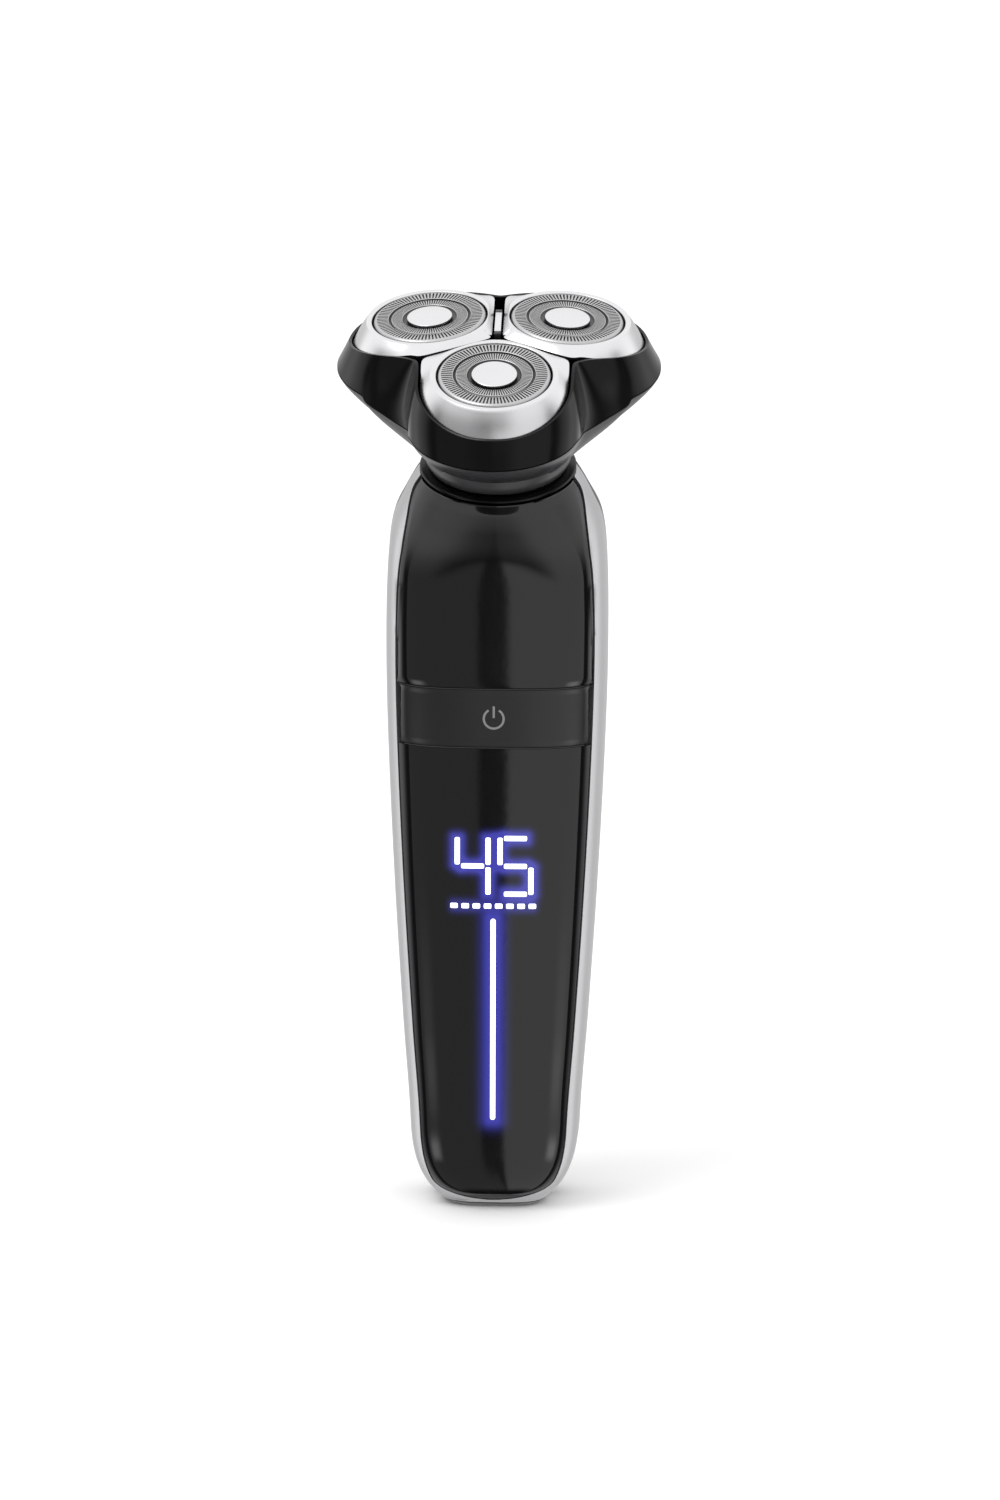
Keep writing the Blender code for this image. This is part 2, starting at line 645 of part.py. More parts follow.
def gear_outline(teeth, pitch_radius, phase):
    """Four points a tooth, with room between the teeth of two gears that mesh."""
    module = 2 * pitch_radius / teeth
    tip, root = pitch_radius + 0.5 * module, pitch_radius - 0.85 * module
    points = []
    for tooth in range(teeth):
        middle = phase + 2 * math.pi * tooth / teeth
        pitch = 2 * math.pi / teeth
        for radius, offset in ((root, -0.26), (tip, -0.09), (tip, 0.09), (root, 0.26)):
            angle = middle + offset * pitch
            points.append((radius * math.cos(angle), radius * math.sin(angle)))
    return points


def gear_solid(teeth, pitch_radius, phase):
    bm = bmesh.new()
    outline = gear_outline(teeth, pitch_radius, phase)
    rings = [[Vector((x, y, z)) for x, y in outline]
             for z in (GEAR_LEVEL, GEAR_LEVEL + GEAR_THICKNESS)]
    ring_loft(bm, rings, False)
    return bm


def make_gears(centre, spindles):
    share = CENTRE_TEETH / (CENTRE_TEETH + SPINDLE_TEETH)
    hub = bmesh.new()
    cylinder(hub, 3.5 * MM, 0.6 * MM, GEAR_LEVEL + 0.4 * MM, 20)
    first_lobe = math.radians(LOBES["front"])
    gear = unite("centre_gear", [gear_solid(CENTRE_TEETH, SPINDLE_REACH * share, first_lobe), hub],
                 GEAR_PLASTIC, centre)
    socket = bmesh.new()
    cylinder(socket, 2.9 * MM, 0, 4.6 * MM, 12)
    subtract(gear, socket, "drive_socket")
    for side, heading in LOBES.items():
        toward_centre = math.radians(heading) + math.pi
        turn = math.radians(heading) - first_lobe
        tooth_shift = turn * CENTRE_TEETH / (2 * math.pi) % 1
        phase = toward_centre + (0.5 + tooth_shift) * 2 * math.pi / SPINDLE_TEETH
        pinion = gear_solid(SPINDLE_TEETH, SPINDLE_REACH * (1 - share), phase)
        drill = bmesh.new()
        cylinder(drill, 1.7 * MM, GEAR_LEVEL - MM, GEAR_LEVEL + 4 * MM, 14)
        obj = make_object(f"spindle_gear_{side}", pinion, GEAR_PLASTIC, spindles[side])
        subtract(obj, drill, f"spindle_bore_{side}")
        bm = bmesh.new()
        cylinder(bm, 1.4 * MM, SPINDLE_FOOT, SPINDLE_TOP, 14)
        make_object(f"spindle_{side}", bm, BRIGHT_SILVER, spindles[side])


# ---------------------------------------------------------------- holder and pods

def make_holder(holder):
    def holder_ring(share, inset, bulge=0.0):
        def radius_at(away):
            low = lobe_radius(away, inset_lobe(SEAM_LOBE, inset))
            high = lobe_radius(away, inset_lobe(HOLDER_TOP_LOBE, min(inset, 0.55 * MM)))
            return low + (high - low) * share + bulge

        def level_at(away):
            low = seam_level(away) + GAP / 2
            return low + (holder_level(away) - low) * share

        return lobed_ring(60, radius_at, level_at)

    wall = 1.2 * MM
    rings = [holder_ring(0, 0), holder_ring(0.45, 0, 0.15 * MM), holder_ring(1, 0),
             holder_ring(1, wall), holder_ring(0.45, wall), holder_ring(0, wall)]
    bm = bmesh.new()
    ring_loft(bm, rings, True)
    make_object("holder_shell", bm, GLOSS_BLACK, holder)

    bm = bmesh.new()
    frame = (15.0 * MM, 12.6 * MM)
    rings = [lobed_ring(48, lambda away: lobe_radius(away, frame), lambda away, z=z: z)
             for z in (13.6 * MM, 14.8 * MM)]
    ring_loft(bm, rings, False)
    retaining = make_object("retaining_frame", bm, SATIN_BLACK, holder)
    holes = bmesh.new()
    for heading in LOBES.values():
        cylinder(holes, 10.4 * MM, 12 * MM, 16 * MM, 28, spot(PIVOT_REACH, heading))
    subtract(retaining, holes, "pod_holes")

    bar = bmesh.new()
    block(bar, (-0.62, 0.7, 24.2), (0.62, 10.4, 27.5))
    post = bmesh.new()
    cylinder(post, 1.5 * MM, 15.1 * MM, 24.7 * MM, 16)
    unite("centre_bridge", [bar, post], BRIGHT_SILVER, holder)


def plate_outline(lobe, gap_front, gap_rear, level_at, count, heading):
    """Outline of one plate in its pod's frame, as seen from the cutter's centre."""
    points = []
    for step in range(count):
        angle = 2 * math.pi * step / count
        direction = Vector((math.cos(angle), math.sin(angle)))
        low, high = 0.0, 40 * MM
        for _ in range(30):
            middle = (low + high) / 2
            spot_at = Vector((CUTTER_REACH, 0)) + direction * middle
            if inside_plate(spot_at, lobe, gap_front, gap_rear, heading):
                low = middle
            else:
                high = middle
        head_point = Vector((CUTTER_REACH, 0)) + direction * low
        away = abs(math.atan2(head_point.y, head_point.x))
        if direction.x < VALLEY_DIRECTION:
            away = math.radians(60)
        points.append(Vector((head_point.x, head_point.y, level_at(away))))
    return points


def inside_plate(point, lobe, gap_front, gap_rear, heading):
    """Inside the lobe's outline and clear of the gaps to the two neighbouring plates."""
    away = abs(math.atan2(point.y, point.x))
    if point.length > lobe_radius(min(away, math.radians(60)), lobe):
        return False
    for side in (-1, 1):
        edge = Vector((math.cos(math.radians(60)), side * math.sin(math.radians(60))))
        normal = Vector((side * edge.y, -side * edge.x))
        gap = gap_rear if rear_side(heading, side) else gap_front
        if point.dot(normal) < gap:
            return False
    return True


def rear_side(heading, side):
    """Whether this side of the plate borders the gap that holds the bridge."""
    return round(heading + 60 * side) % 360 == 90


def to_pod(point):
    """From the head's frame, turned so that this lobe lies along +X, to the pod's frame."""
    dx, dz = point.x - PIVOT_REACH, point.z - PIVOT_LEVEL
    cos, sin = math.cos(CUTTER_TILT), math.sin(CUTTER_TILT)
    return Vector((dx * cos - dz * sin, point.y, dx * sin + dz * cos))


def make_head_plate(side, bore, pod):
    """A thin plate: a flat rim round the cap, and a slope from the rim down to the holder."""
    heading = LOBES[side]
    count = 40
    edge_drop = 0.8 * MM
    under = PLATE_TOP - PLATE_SKIN
    nearest = bore + 0.12 * MM

    def outline(lobe, inset, level_at):
        return [to_pod(point) for point in plate_outline(
            lobe, PLATE_GAP + inset, BRIDGE_GAP + inset, level_at, count, heading)]

    def skirt_level(away):
        return holder_level(away) - 0.5 * MM + 1.0 * MM * smooth_step(away, 0.7, 1.0)

    def rim(inset, level):
        """A circle round the cap, pulled in where the gap to a neighbour is near."""
        points = outline(PLATE_TOP_LOBE, edge_drop + inset, lambda away: OUTLINE_LEVEL)
        lengths = [max(nearest, min(PLATE_RIM - inset, point.xy.length)) for point in points]
        return [Vector((*(point.xy.normalized() * length), level))
                for point, length in zip(points, lengths)]

    def skirt(inset):
        points = outline(inset_lobe(PLATE_SKIRT_LOBE, inset), inset, skirt_level)
        return [Vector((*point.xy, min(point.z, PLATE_TOP - edge_drop))) for point in points]

    def hole(level):
        turns = [2 * math.pi * step / count for step in range(count)]
        return [Vector((bore * math.cos(turn), bore * math.sin(turn), level)) for turn in turns]

    bm = bmesh.new()
    ring_loft(bm, [hole(PLATE_TOP), rim(0, PLATE_TOP), skirt(0), skirt(PLATE_SKIN),
                   rim(0.6 * MM, under), hole(under)], True)
    make_object(f"head_plate_{side}", bm, BRIGHT_SILVER, pod)


def make_pod(side, pod, cap, cutter):
    bore = CAP_RADIUS + 0.35 * MM
    make_head_plate(side, bore, pod)
    turned(f"pod_ring_{side}", POD_RING_PROFILE, SATIN_BLACK, pod, 24)
    turned(f"shaving_cap_{side}", CAP_PROFILE, CAP_STEEL, cap, 24)
    bm = bmesh.new()
    cylinder(bm, 4.3 * MM, 6.15 * MM, 6.5 * MM, 24)
    make_object(f"cap_disc_{side}", bm, BRIGHT_SILVER, cap)
    blades = turned(f"cutter_{side}", CUTTER_PROFILE, BRIGHT_SILVER, cutter, 20)
    slots = bmesh.new()
    for blade in range(CUTTER_BLADES):
        slot = block(slots, (6.5, -1.1, 3.9), (9.8, 1.1, 6.0))
        bmesh.ops.rotate(slots, verts=slot,
                         matrix=Matrix.Rotation(2 * math.pi * blade / CUTTER_BLADES, 3, "Z"))
    subtract(blades, slots, f"blade_slots_{side}")


def make_head(unit, holder, pods, caps, cutters):
    make_hair_chamber(unit)
    make_holder(holder)
    for side in LOBES:
        make_pod(side, pods[side], caps[side], cutters[side])


# ---------------------------------------------------------------- assembly

def build():
    handle = make_empty("handle")
    button = make_empty("button_body", handle)
    make_handle_shells(handle, button)
    make_base(handle)
    make_electronics(handle)

    neck_frame = Matrix.Translation((0, 0, NECK_HEIGHT)) @ Matrix.Rotation(HEAD_TILT, 4, "X")
    neck = make_empty("neck", handle, neck_frame)
    make_neck(neck)
    shaft = make_empty("drive_body", neck)
    make_drive(shaft)
    unit = make_empty("shaving_unit", neck)
    holder = make_empty("holder", unit)
    centre = make_empty("centre_gear_body", unit)
    spindles, pods, caps, cutters = {}, {}, {}, {}
    for side, heading in LOBES.items():
        turn = Matrix.Rotation(math.radians(heading), 4, "Z")
        spindles[side] = make_empty(f"spindle_body_{side}", unit,
                                    Matrix.Translation((*spot(SPINDLE_REACH, heading), 0)))
        pods[side] = make_empty(f"pod_{side}", holder, turn @ Matrix.Translation(
            (PIVOT_REACH, 0, PIVOT_LEVEL)) @ Matrix.Rotation(CUTTER_TILT, 4, "Y"))
        caps[side] = make_empty(f"cap_body_{side}", pods[side])
        cutters[side] = make_empty(f"cutter_body_{side}", caps[side])
    make_gears(centre, spindles)
    make_head(unit, holder, pods, caps, cutters)


build()
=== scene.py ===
# %% [markdown]
# # A rotary shaver, from its frame to its finish
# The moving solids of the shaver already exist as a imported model. This script loads them as a
# fixed frame and gives the object its looks: fine meshes over the plain solids, and a finish
# made of shader nodes for every material. The frame comes first, because all sizes and places
# below are worked out from it.

# %% Load the frame
import json
import math

import bmesh
import bpy
from mathutils import Matrix, Vector


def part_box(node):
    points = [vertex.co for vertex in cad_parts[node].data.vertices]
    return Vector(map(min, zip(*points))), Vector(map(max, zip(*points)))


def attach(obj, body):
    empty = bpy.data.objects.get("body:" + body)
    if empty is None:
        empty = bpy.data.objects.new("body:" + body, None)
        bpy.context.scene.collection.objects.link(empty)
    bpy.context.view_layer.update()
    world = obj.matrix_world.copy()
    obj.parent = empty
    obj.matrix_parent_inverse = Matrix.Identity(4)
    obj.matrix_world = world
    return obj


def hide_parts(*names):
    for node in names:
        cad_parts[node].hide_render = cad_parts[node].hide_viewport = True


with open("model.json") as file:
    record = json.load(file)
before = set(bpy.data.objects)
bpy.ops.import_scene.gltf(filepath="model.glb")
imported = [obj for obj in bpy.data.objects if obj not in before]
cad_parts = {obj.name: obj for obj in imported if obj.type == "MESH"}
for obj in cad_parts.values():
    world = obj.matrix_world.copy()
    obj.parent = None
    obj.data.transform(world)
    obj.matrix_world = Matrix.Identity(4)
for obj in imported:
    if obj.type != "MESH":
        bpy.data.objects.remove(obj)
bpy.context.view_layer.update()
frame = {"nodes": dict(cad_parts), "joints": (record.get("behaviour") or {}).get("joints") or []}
NODES = frame["nodes"]
JOINTS = {joint["name"]: joint for joint in frame["joints"]}
MM = 0.001

# %% [markdown]
# ## Where things are
# The neck and the head lean forwards. The motor's joint says where the head's axis starts and
# which way it points, and each pod's joints say the same for a pod. Turning these into matrices
# means that every piece of the head can be made in simple local numbers and then put in place.

# %% The head's frame and the pods' frames
SPIN = JOINTS["motor_spin"]
LEAN = math.atan2(-SPIN["axis"][1], SPIN["axis"][2])
HEAD = Matrix.Translation(SPIN["pos_m"]) @ Matrix.Rotation(LEAN, 4, "X")
SIDES = {"front": -90, "right": 30, "left": 150}


def pod_frame(side):
    """X away from the head's middle, Z along the cutter's axis, origin on the tilt axis."""
    z_axis = Vector(JOINTS[f"cutter_spin_{side}"]["axis"]).normalized()
    y_axis = Vector(JOINTS[f"pod_tilt_{side}"]["axis"]).normalized()
    x_axis = y_axis.cross(z_axis)
    turn = Matrix((x_axis, y_axis, z_axis)).transposed().to_4x4()
    return Matrix.Translation(JOINTS[f"pod_tilt_{side}"]["pos_m"]) @ turn


PODS = {side: pod_frame(side) for side in SIDES}
PIVOT = HEAD.inverted() @ PODS["front"].translation
PIVOT_REACH, PIVOT_LEVEL = Vector((PIVOT.x, PIVOT.y)).length, PIVOT.z
POD_TILT = HEAD.to_3x3().col[2].angle(PODS["front"].to_3x3().col[2])
print(f"the head leans {math.degrees(LEAN):.1f} degrees, each pod {math.degrees(POD_TILT):.1f} more")

# %% [markdown]
# ## Wires between shader nodes
# A material is a graph of nodes. Small wrappers make it readable: a `Wire` is the output of a
# node that can be used in sums like a number, and a `Recipe` is one material that adds nodes and
# connects them to its shader. Plain numbers stay numbers and are set straight on the sockets.

# %% A socket that works like a number


class Wire:
    """One output socket; arithmetic on it adds Math nodes."""

    def __init__(self, recipe, socket):
        self.recipe, self.socket = recipe, socket

    def math(self, operation, *others):
        return self.recipe.node("ShaderNodeMath", {"operation": operation}, [self, *others])

    def __add__(self, other):
        return self.math("ADD", other)

    def __sub__(self, other):
        return self.math("SUBTRACT", other)

    def __rsub__(self, other):
        return self.recipe.node("ShaderNodeMath", {"operation": "SUBTRACT"}, [other, self])

    def __mul__(self, other):
        return self.math("MULTIPLY", other)

    def __truediv__(self, other):
        return self.math("DIVIDE", other)

    __radd__, __rmul__ = __add__, __mul__


# %% A material as a recipe


class Recipe:
    """A material, or the world, as a graph that grows node by node."""

    def __init__(self, owner):
        owner.use_nodes = True
        self.owner, self.tree = owner, owner.node_tree

    def node(self, kind, settings=None, inputs=(), output=0):
        """Add a node: its settings first, then values or wires for its sockets."""
        made = self.tree.nodes.new(kind)
        for key, value in (settings or {}).items():
            setattr(made, key, value)
        pairs = inputs.items() if isinstance(inputs, dict) else enumerate(inputs)
        for key, value in pairs:
            self.feed(made.inputs[key], value)
        return Wire(self, made.outputs[output])

    def feed(self, socket, value):
        if isinstance(value, Wire):
            self.tree.links.new(value.socket, socket)
        elif isinstance(value, tuple) and socket.type == "RGBA":
            socket.default_value = (*value, 1.0)
        else:
            socket.default_value = value


def finish(name, **sockets):
    """A new Principled material; numbers and wires go to the sockets with these names."""
    material = bpy.data.materials.new(name)
    recipe = Recipe(material)
    recipe.shader = recipe.tree.nodes["Principled BSDF"]
    dress(recipe, **sockets)
    return recipe


def dress(recipe, **sockets):
    for name, value in sockets.items():
        recipe.feed(recipe.shader.inputs[name.replace("_", " ")], value)


def grain(recipe, size, detail=3.0, stretch=(1, 1, 1), roughness=0.5):
    """Noise whose features are about the given size in metres; the wire runs from 0 to 1."""
    place = recipe.node("ShaderNodeTexCoord", output="Object")
    place = recipe.node("ShaderNodeMapping", inputs={"Vector": place, "Scale": Vector(stretch)})
    return recipe.node("ShaderNodeTexNoise", inputs={
        "Vector": place, "Scale": 1 / size, "Detail": detail, "Roughness": roughness})


def between(share, low, high):
    """A number that runs from low to high as the wire goes from 0 to 1."""
    return share * (high - low) + low


def blend(recipe, share, first, second):
    """A mix of two colours."""
    return recipe.node("ShaderNodeMix", {"data_type": "RGBA"},
                       {0: share, 6: first, 7: second}, output=2)


def tint(colour, factor):
    return tuple(min(1, c * factor) for c in colour)


def mottle(recipe, share, colour, darkest, lightest=1):
    """The colour, multiplied by a factor that follows the wire."""
    return blend(recipe, share, tint(colour, darkest), tint(colour, lightest))


def bump(recipe, height, depth, strength=1.0):
    """A normal that is bent by a height from 0 to 1, over a depth in metres."""
    return recipe.node("ShaderNodeBump", inputs={
        "Height": height, "Distance": depth, "Strength": strength})


print("shader helpers are ready")

# %% [markdown]
# ## The finishes
# Injection-moulded gloss black shows almost no colour of its own. What sells it is a clean, sharp
# reflection with a trace of unevenness, so its roughness wanders a little and a very shallow
# orange-peel bump bends the reflections. Satin plastics get a finer, stronger grain.

# %% Black and grey plastics


def gloss_plastic(name, colour, specular=0.5, rough=0.035):
    recipe = finish(name, Specular_IOR_Level=specular, IOR=1.5)
    haze = grain(recipe, 14 * MM, 4.0)
    peel = grain(recipe, 1.6 * MM, 1.0)
    dress(recipe, Base_Color=mottle(recipe, haze, colour, 1, 1.25),
          Roughness=between(haze, rough, rough + 0.05), Normal=bump(recipe, peel, 0.002 * MM))
    return recipe


def satin_plastic(name, colour, rough, depth=0.012 * MM, size=0.16 * MM):
    recipe = finish(name, Specular_IOR_Level=0.5)
    spark = grain(recipe, size, 2.0)
    wander = grain(recipe, 9 * MM, 3.0)
    dress(recipe, Base_Color=mottle(recipe, wander, colour, 0.9, 1.12),
          Roughness=between(wander, rough - 0.04, rough + 0.05),
          Normal=bump(recipe, spark, depth, 0.6))
    return recipe


FINISHES = {
    "gloss_black": gloss_plastic("gloss black moulding", (0.0035, 0.0035, 0.004)),
    "soft_gloss": gloss_plastic("soft gloss moulding", (0.003, 0.003, 0.0033), 0.16, 0.16),
    "satin_black": satin_plastic("satin black moulding", (0.007, 0.007, 0.0075), 0.3),
    "grey_plastic": satin_plastic("satin grey moulding", (0.03, 0.03, 0.032), 0.3),
    "gear_plastic": satin_plastic("natural gear plastic", (0.68, 0.66, 0.6), 0.42),
}
print("plastics:", ", ".join(FINISHES))

# %% [markdown]
# Metals show in their reflections. Lacquered silver carries tiny flakes, so its colour and
# roughness vary at a tenth of a millimetre. Satin chrome is smoother. Ground steel keeps the
# marks of the wheel, which on a turned part run in circles round its axis; those parts carry a
# UV map of angle and radius, so that the marks follow them wherever the part sits.

# %% Metals


def flake_lacquer(name, colour, rough):
    recipe = finish(name, Coat_Weight=0.25, Coat_Roughness=0.18)
    flakes = recipe.node("ShaderNodeTexVoronoi", inputs={
        "Vector": recipe.node("ShaderNodeTexCoord", output="Object"), "Scale": 1 / (0.12 * MM)})
    wander = grain(recipe, 12 * MM, 3.0)
    dress(recipe, Base_Color=mottle(recipe, flakes, colour, 0.86, 1.12), Metallic=0.9,
          Roughness=between(wander, rough - 0.03, rough + 0.05),
          Normal=bump(recipe, grain(recipe, 0.2 * MM, 2.0), 0.004 * MM, 0.4))
    return recipe


def satin_chrome(name, colour, rough):
    recipe = finish(name, Metallic=1.0)
    fine = grain(recipe, 0.3 * MM, 3.0)
    wander = grain(recipe, 6 * MM, 4.0)
    dress(recipe, Base_Color=mottle(recipe, wander, colour, 0.95),
          Roughness=between(wander, rough - 0.03, rough + 0.04),
          Normal=bump(recipe, fine, 0.0015 * MM, 0.5))
    return recipe


def ground_steel(name, colour, rough, marks=420):
    recipe = finish(name, Metallic=1.0)
    place = recipe.node("ShaderNodeUVMap", {"uv_map": "turned"})
    stretched = recipe.node("ShaderNodeMapping", inputs={
        "Vector": place, "Scale": Vector((6, marks, 1))})
    rings = recipe.node("ShaderNodeTexNoise", inputs={
        "Vector": stretched, "Scale": 1.0, "Detail": 3.0, "Roughness": 0.6})
    dress(recipe, Base_Color=mottle(recipe, rings, colour, 0.72, 1.2),
          Roughness=between(rings, rough - 0.06, rough + 0.1),
          Normal=bump(recipe, rings, 0.006 * MM, 0.5))
    return recipe


def machined_steel(name, colour, rough):
    recipe = finish(name, Metallic=1.0)
    lines = grain(recipe, 0.25 * MM, 4.0, (1, 1, 0.1))
    dress(recipe, Base_Color=mottle(recipe, lines, colour, 0.8),
          Roughness=between(lines, rough - 0.05, rough + 0.1),
          Normal=bump(recipe, lines, 0.004 * MM, 0.5))
    return recipe


FINISHES["satin_silver"] = flake_lacquer("silver lacquer", (0.5, 0.5, 0.51), 0.32)
FINISHES["bright_silver"] = satin_chrome("satin chrome", (0.7, 0.7, 0.71), 0.27)
FINISHES["cap_steel"] = ground_steel("ground cap steel", (0.5, 0.5, 0.505), 0.36)
FINISHES["steel"] = machined_steel("machined steel", (0.55, 0.55, 0.56), 0.28)
FINISHES["brass"] = machined_steel("brass contact", (0.78, 0.56, 0.24), 0.22)
print("metals ready,", len(FINISHES), "finishes so far")

# %% [markdown]
# The parts inside are not polished, and each has its own look: rubber is dull and slightly
# dusty, a circuit board shows its weave, and the cell's wrap is a shiny film. The lit marks of
# the display give light, with a core that is almost white.

# %% Rubber, board, film and light
FINISHES["rubber"] = satin_plastic("moulded rubber", (0.009, 0.009, 0.0095), 0.62, 0.03 * MM, 0.3 * MM)


def laminate(name, colour):
    recipe = finish(name, Coat_Weight=0.4, Coat_Roughness=0.2)
    weave = recipe.node("ShaderNodeTexBrick", {"offset": 0.5}, {
        "Vector": recipe.node("ShaderNodeTexCoord", output="Object"), "Scale": 1 / (2.4 * MM),
        "Color1": colour, "Color2": tint(colour, 1.4),
        "Mortar": tint(colour, 0.6), "Mortar Size": 0.03})
    dress(recipe, Base_Color=weave, Roughness=between(grain(recipe, 3 * MM), 0.35, 0.55))
    return recipe


def shrink_film(name, colour):
    recipe = finish(name, Coat_Weight=0.6, Coat_Roughness=0.08)
    folds = grain(recipe, 5 * MM, 2.0, (1, 1, 0.3))
    dress(recipe, Base_Color=mottle(recipe, folds, colour, 0.8),
          Roughness=between(folds, 0.25, 0.4), Normal=bump(recipe, folds, 0.03 * MM))
    return recipe


def lit_plastic(name, colour, strength):
    recipe = finish(name, Emission_Strength=strength, Roughness=0.2)
    cloud = grain(recipe, 6 * MM, 2.0)
    dress(recipe, Base_Color=blend(recipe, cloud, (0.7, 0.75, 0.9), (0.8, 0.83, 0.95)),
          Emission_Color=mottle(recipe, cloud, colour, 0.92))
    return recipe


FINISHES["board_green"] = laminate("circuit laminate", (0.015, 0.12, 0.045))
FINISHES["cell_wrap"] = shrink_film("cell film", (0.05, 0.16, 0.36))
FINISHES["display_light"] = lit_plastic("lit display", (0.86, 0.9, 1.0), 1.5)
print(len(FINISHES), "finishes in all")

# %% [markdown]
# ## Pieces
# A finished piece's mesh holds its place in the world, and its object stays at the origin. One
# function closes doubled points, turns all faces outwards, moves the mesh from its own frame to
# the world, and ties the piece to the solid that it stands for.

# %% Turning a bmesh into a finished piece
SHARP = math.radians(40)
ROUND_Z = {"axis": (0, 0, 1), "cent": (0, 0, 0), "dvec": (0, 0, 0)}


def merge_points(bm):
    bmesh.ops.remove_doubles(bm, verts=bm.verts, dist=0.0001 * MM)


def points_in(geometry):
    return [item for item in geometry if isinstance(item, bmesh.types.BMVert)]


def add_object(name, data):
    made = bpy.data.objects.new(name, data)
    bpy.context.scene.collection.objects.link(made)
    return made


def make_piece(name, bm, finish_name, body, node=None, place=Matrix()):
    merge_points(bm)
    bmesh.ops.recalc_face_normals(bm, faces=bm.faces)
    bmesh.ops.transform(bm, matrix=place, verts=bm.verts)
    mesh = bpy.data.meshes.new(name)
    bm.to_mesh(mesh)
    bm.free()
    mesh.shade_smooth()
    mesh.set_sharp_from_angle(angle=SHARP)
    mesh.materials.append(FINISHES[finish_name].owner)
    piece = add_object(name, mesh)
    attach(piece, body)
    if node:
        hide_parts(node)
    print(f"{name}: {len(mesh.vertices)} points, {len(mesh.polygons)} faces")
    return piece


def soften(bm, offset, segments=2, angle=SHARP):
    """Round every edge that is sharper than the angle."""
    edges = [edge for edge in bm.edges
             if edge.is_manifold and edge.calc_face_angle(0.0) > angle]
    bmesh.ops.bevel(bm, geom=edges, offset=offset, segments=segments, profile=0.5,
                    affect="EDGES", material=-1, clamp_overlap=True)


# %% [markdown]
# ## The skin of the handle
# The handle is a tapered shell whose cross-section is a squarish oval. A station gives its width
# and depth at one height, and a smooth curve runs through the stations. All shells of the handle
# are bent onto this one surface, so they meet without steps.

# %% The handle's cross-sections
LEAN_START, LEAN_END = 96 * MM, 141 * MM
RIM_HEIGHT = 143.4 * MM
HEEL_HEIGHT, HEEL_OVERSHOOT, HEEL_POWER = 17.0 * MM, 1.5 * MM, 2.5
SQUARE_POWER, ROUND_POWER = 3.4, 2.0
# height, half width, depth in front of the axis, depth behind it, all in millimetres
HANDLE_STATIONS = (
    (0.0, 16.0, 14.2, 13.8),
    (17.0, 16.3, 14.6, 14.2),
    (36.0, 17.7, 15.6, 14.6),
    (62.0, 19.35, 16.8, 15.6),
    (89.0, 20.65, 17.7, 17.4),
    (107.0, 21.15, 18.0, 18.3),
    (124.0, 21.0, 18.0, 18.3),
    (133.0, 20.1, 17.8, 17.8),
    (138.5, 17.8, 16.8, 16.8),
    (141.5, 16.3, 15.9, 15.9),
    (143.4, 15.0, 15.0, 15.0),
)


def smooth_step(value, low, high):
    share = min(1.0, max(0.0, (value - low) / (high - low)))
    return share * share * (3 - 2 * share)


def through_stations(height, column):
    """A smooth curve through one column of the stations (cubic Hermite)."""
    rows = HANDLE_STATIONS
    level = min(max(height / MM, rows[0][0]), rows[-1][0])
    index = max(i for i in range(len(rows) - 1) if rows[i][0] <= level)

    def slope(i):
        low, high = rows[max(i - 1, 0)], rows[min(i + 1, len(rows) - 1)]
        return (high[column] - low[column]) / (high[0] - low[0])

    start, end = rows[index], rows[index + 1]
    span = end[0] - start[0]
    s = (level - start[0]) / span
    value = ((2 * s ** 3 - 3 * s ** 2 + 1) * start[column]
             + (s ** 3 - 2 * s ** 2 + s) * span * slope(index)
             + (3 * s ** 2 - 2 * s ** 3) * end[column]
             + (s ** 3 - s ** 2) * span * slope(index + 1))
    return value * MM


def handle_section(height):
    """Half width, front depth, back depth and squareness, rounded in at the heel."""
    drop = max(0.0, (HEEL_HEIGHT - height) / (HEEL_HEIGHT + HEEL_OVERSHOOT))
    share = (1 - drop ** HEEL_POWER) ** (1 / HEEL_POWER)
    power = SQUARE_POWER + (ROUND_POWER - SQUARE_POWER) * smooth_step(height, 126 * MM, RIM_HEIGHT)
    half_width, front, back = (through_stations(height, column) * share for column in (1, 2, 3))
    return half_width, front, back, power


# %% A point on the skin, or under it


def skin_point(angle, height):
    """Angle 0 is the front, positive towards +X; the top leans with the neck."""
    half_width, front, back, power = handle_section(height)
    across, along = math.sin(angle), -math.cos(angle)
    depth = front if along < 0 else back
    radius = (abs(across / half_width) ** power + abs(along / depth) ** power) ** (-1 / power)
    x, y = radius * across, radius * along
    lean = smooth_step(height, LEAN_START, LEAN_END)
    return Vector((x, y * (1 - lean * (1 - math.cos(LEAN))), height + lean * y * math.sin(LEAN)))


def handle_point(angle, height, depth=0.0):
    turn, rise = 0.002, 0.02 * MM
    around = skin_point(angle + turn, height) - skin_point(angle - turn, height)
    upwards = skin_point(angle, height + rise) - skin_point(angle, height - rise)
    return skin_point(angle, height) - around.cross(upwards).normalized() * depth


FRONT_MIDDLE = skin_point(0, 88 * MM)
print("the front of the skin at mid height:", [round(value / MM, 2) for value in FRONT_MIDDLE])

# %% [markdown]
# ## Front panels and the button band
# The gloss front is two panels with the wide button band between them, all bent from flat
# blanks. A grid is extruded to a slab, and each of its points is then laid on the skin by its
# two shares and its depth. The rims are rounded last, because a real moulding's edge catches
# a thin line of light.

# %% A slab bent onto a surface
WALL = 1.6 * MM
GAP = 0.3 * MM
EDGE_ROUND = 0.22 * MM


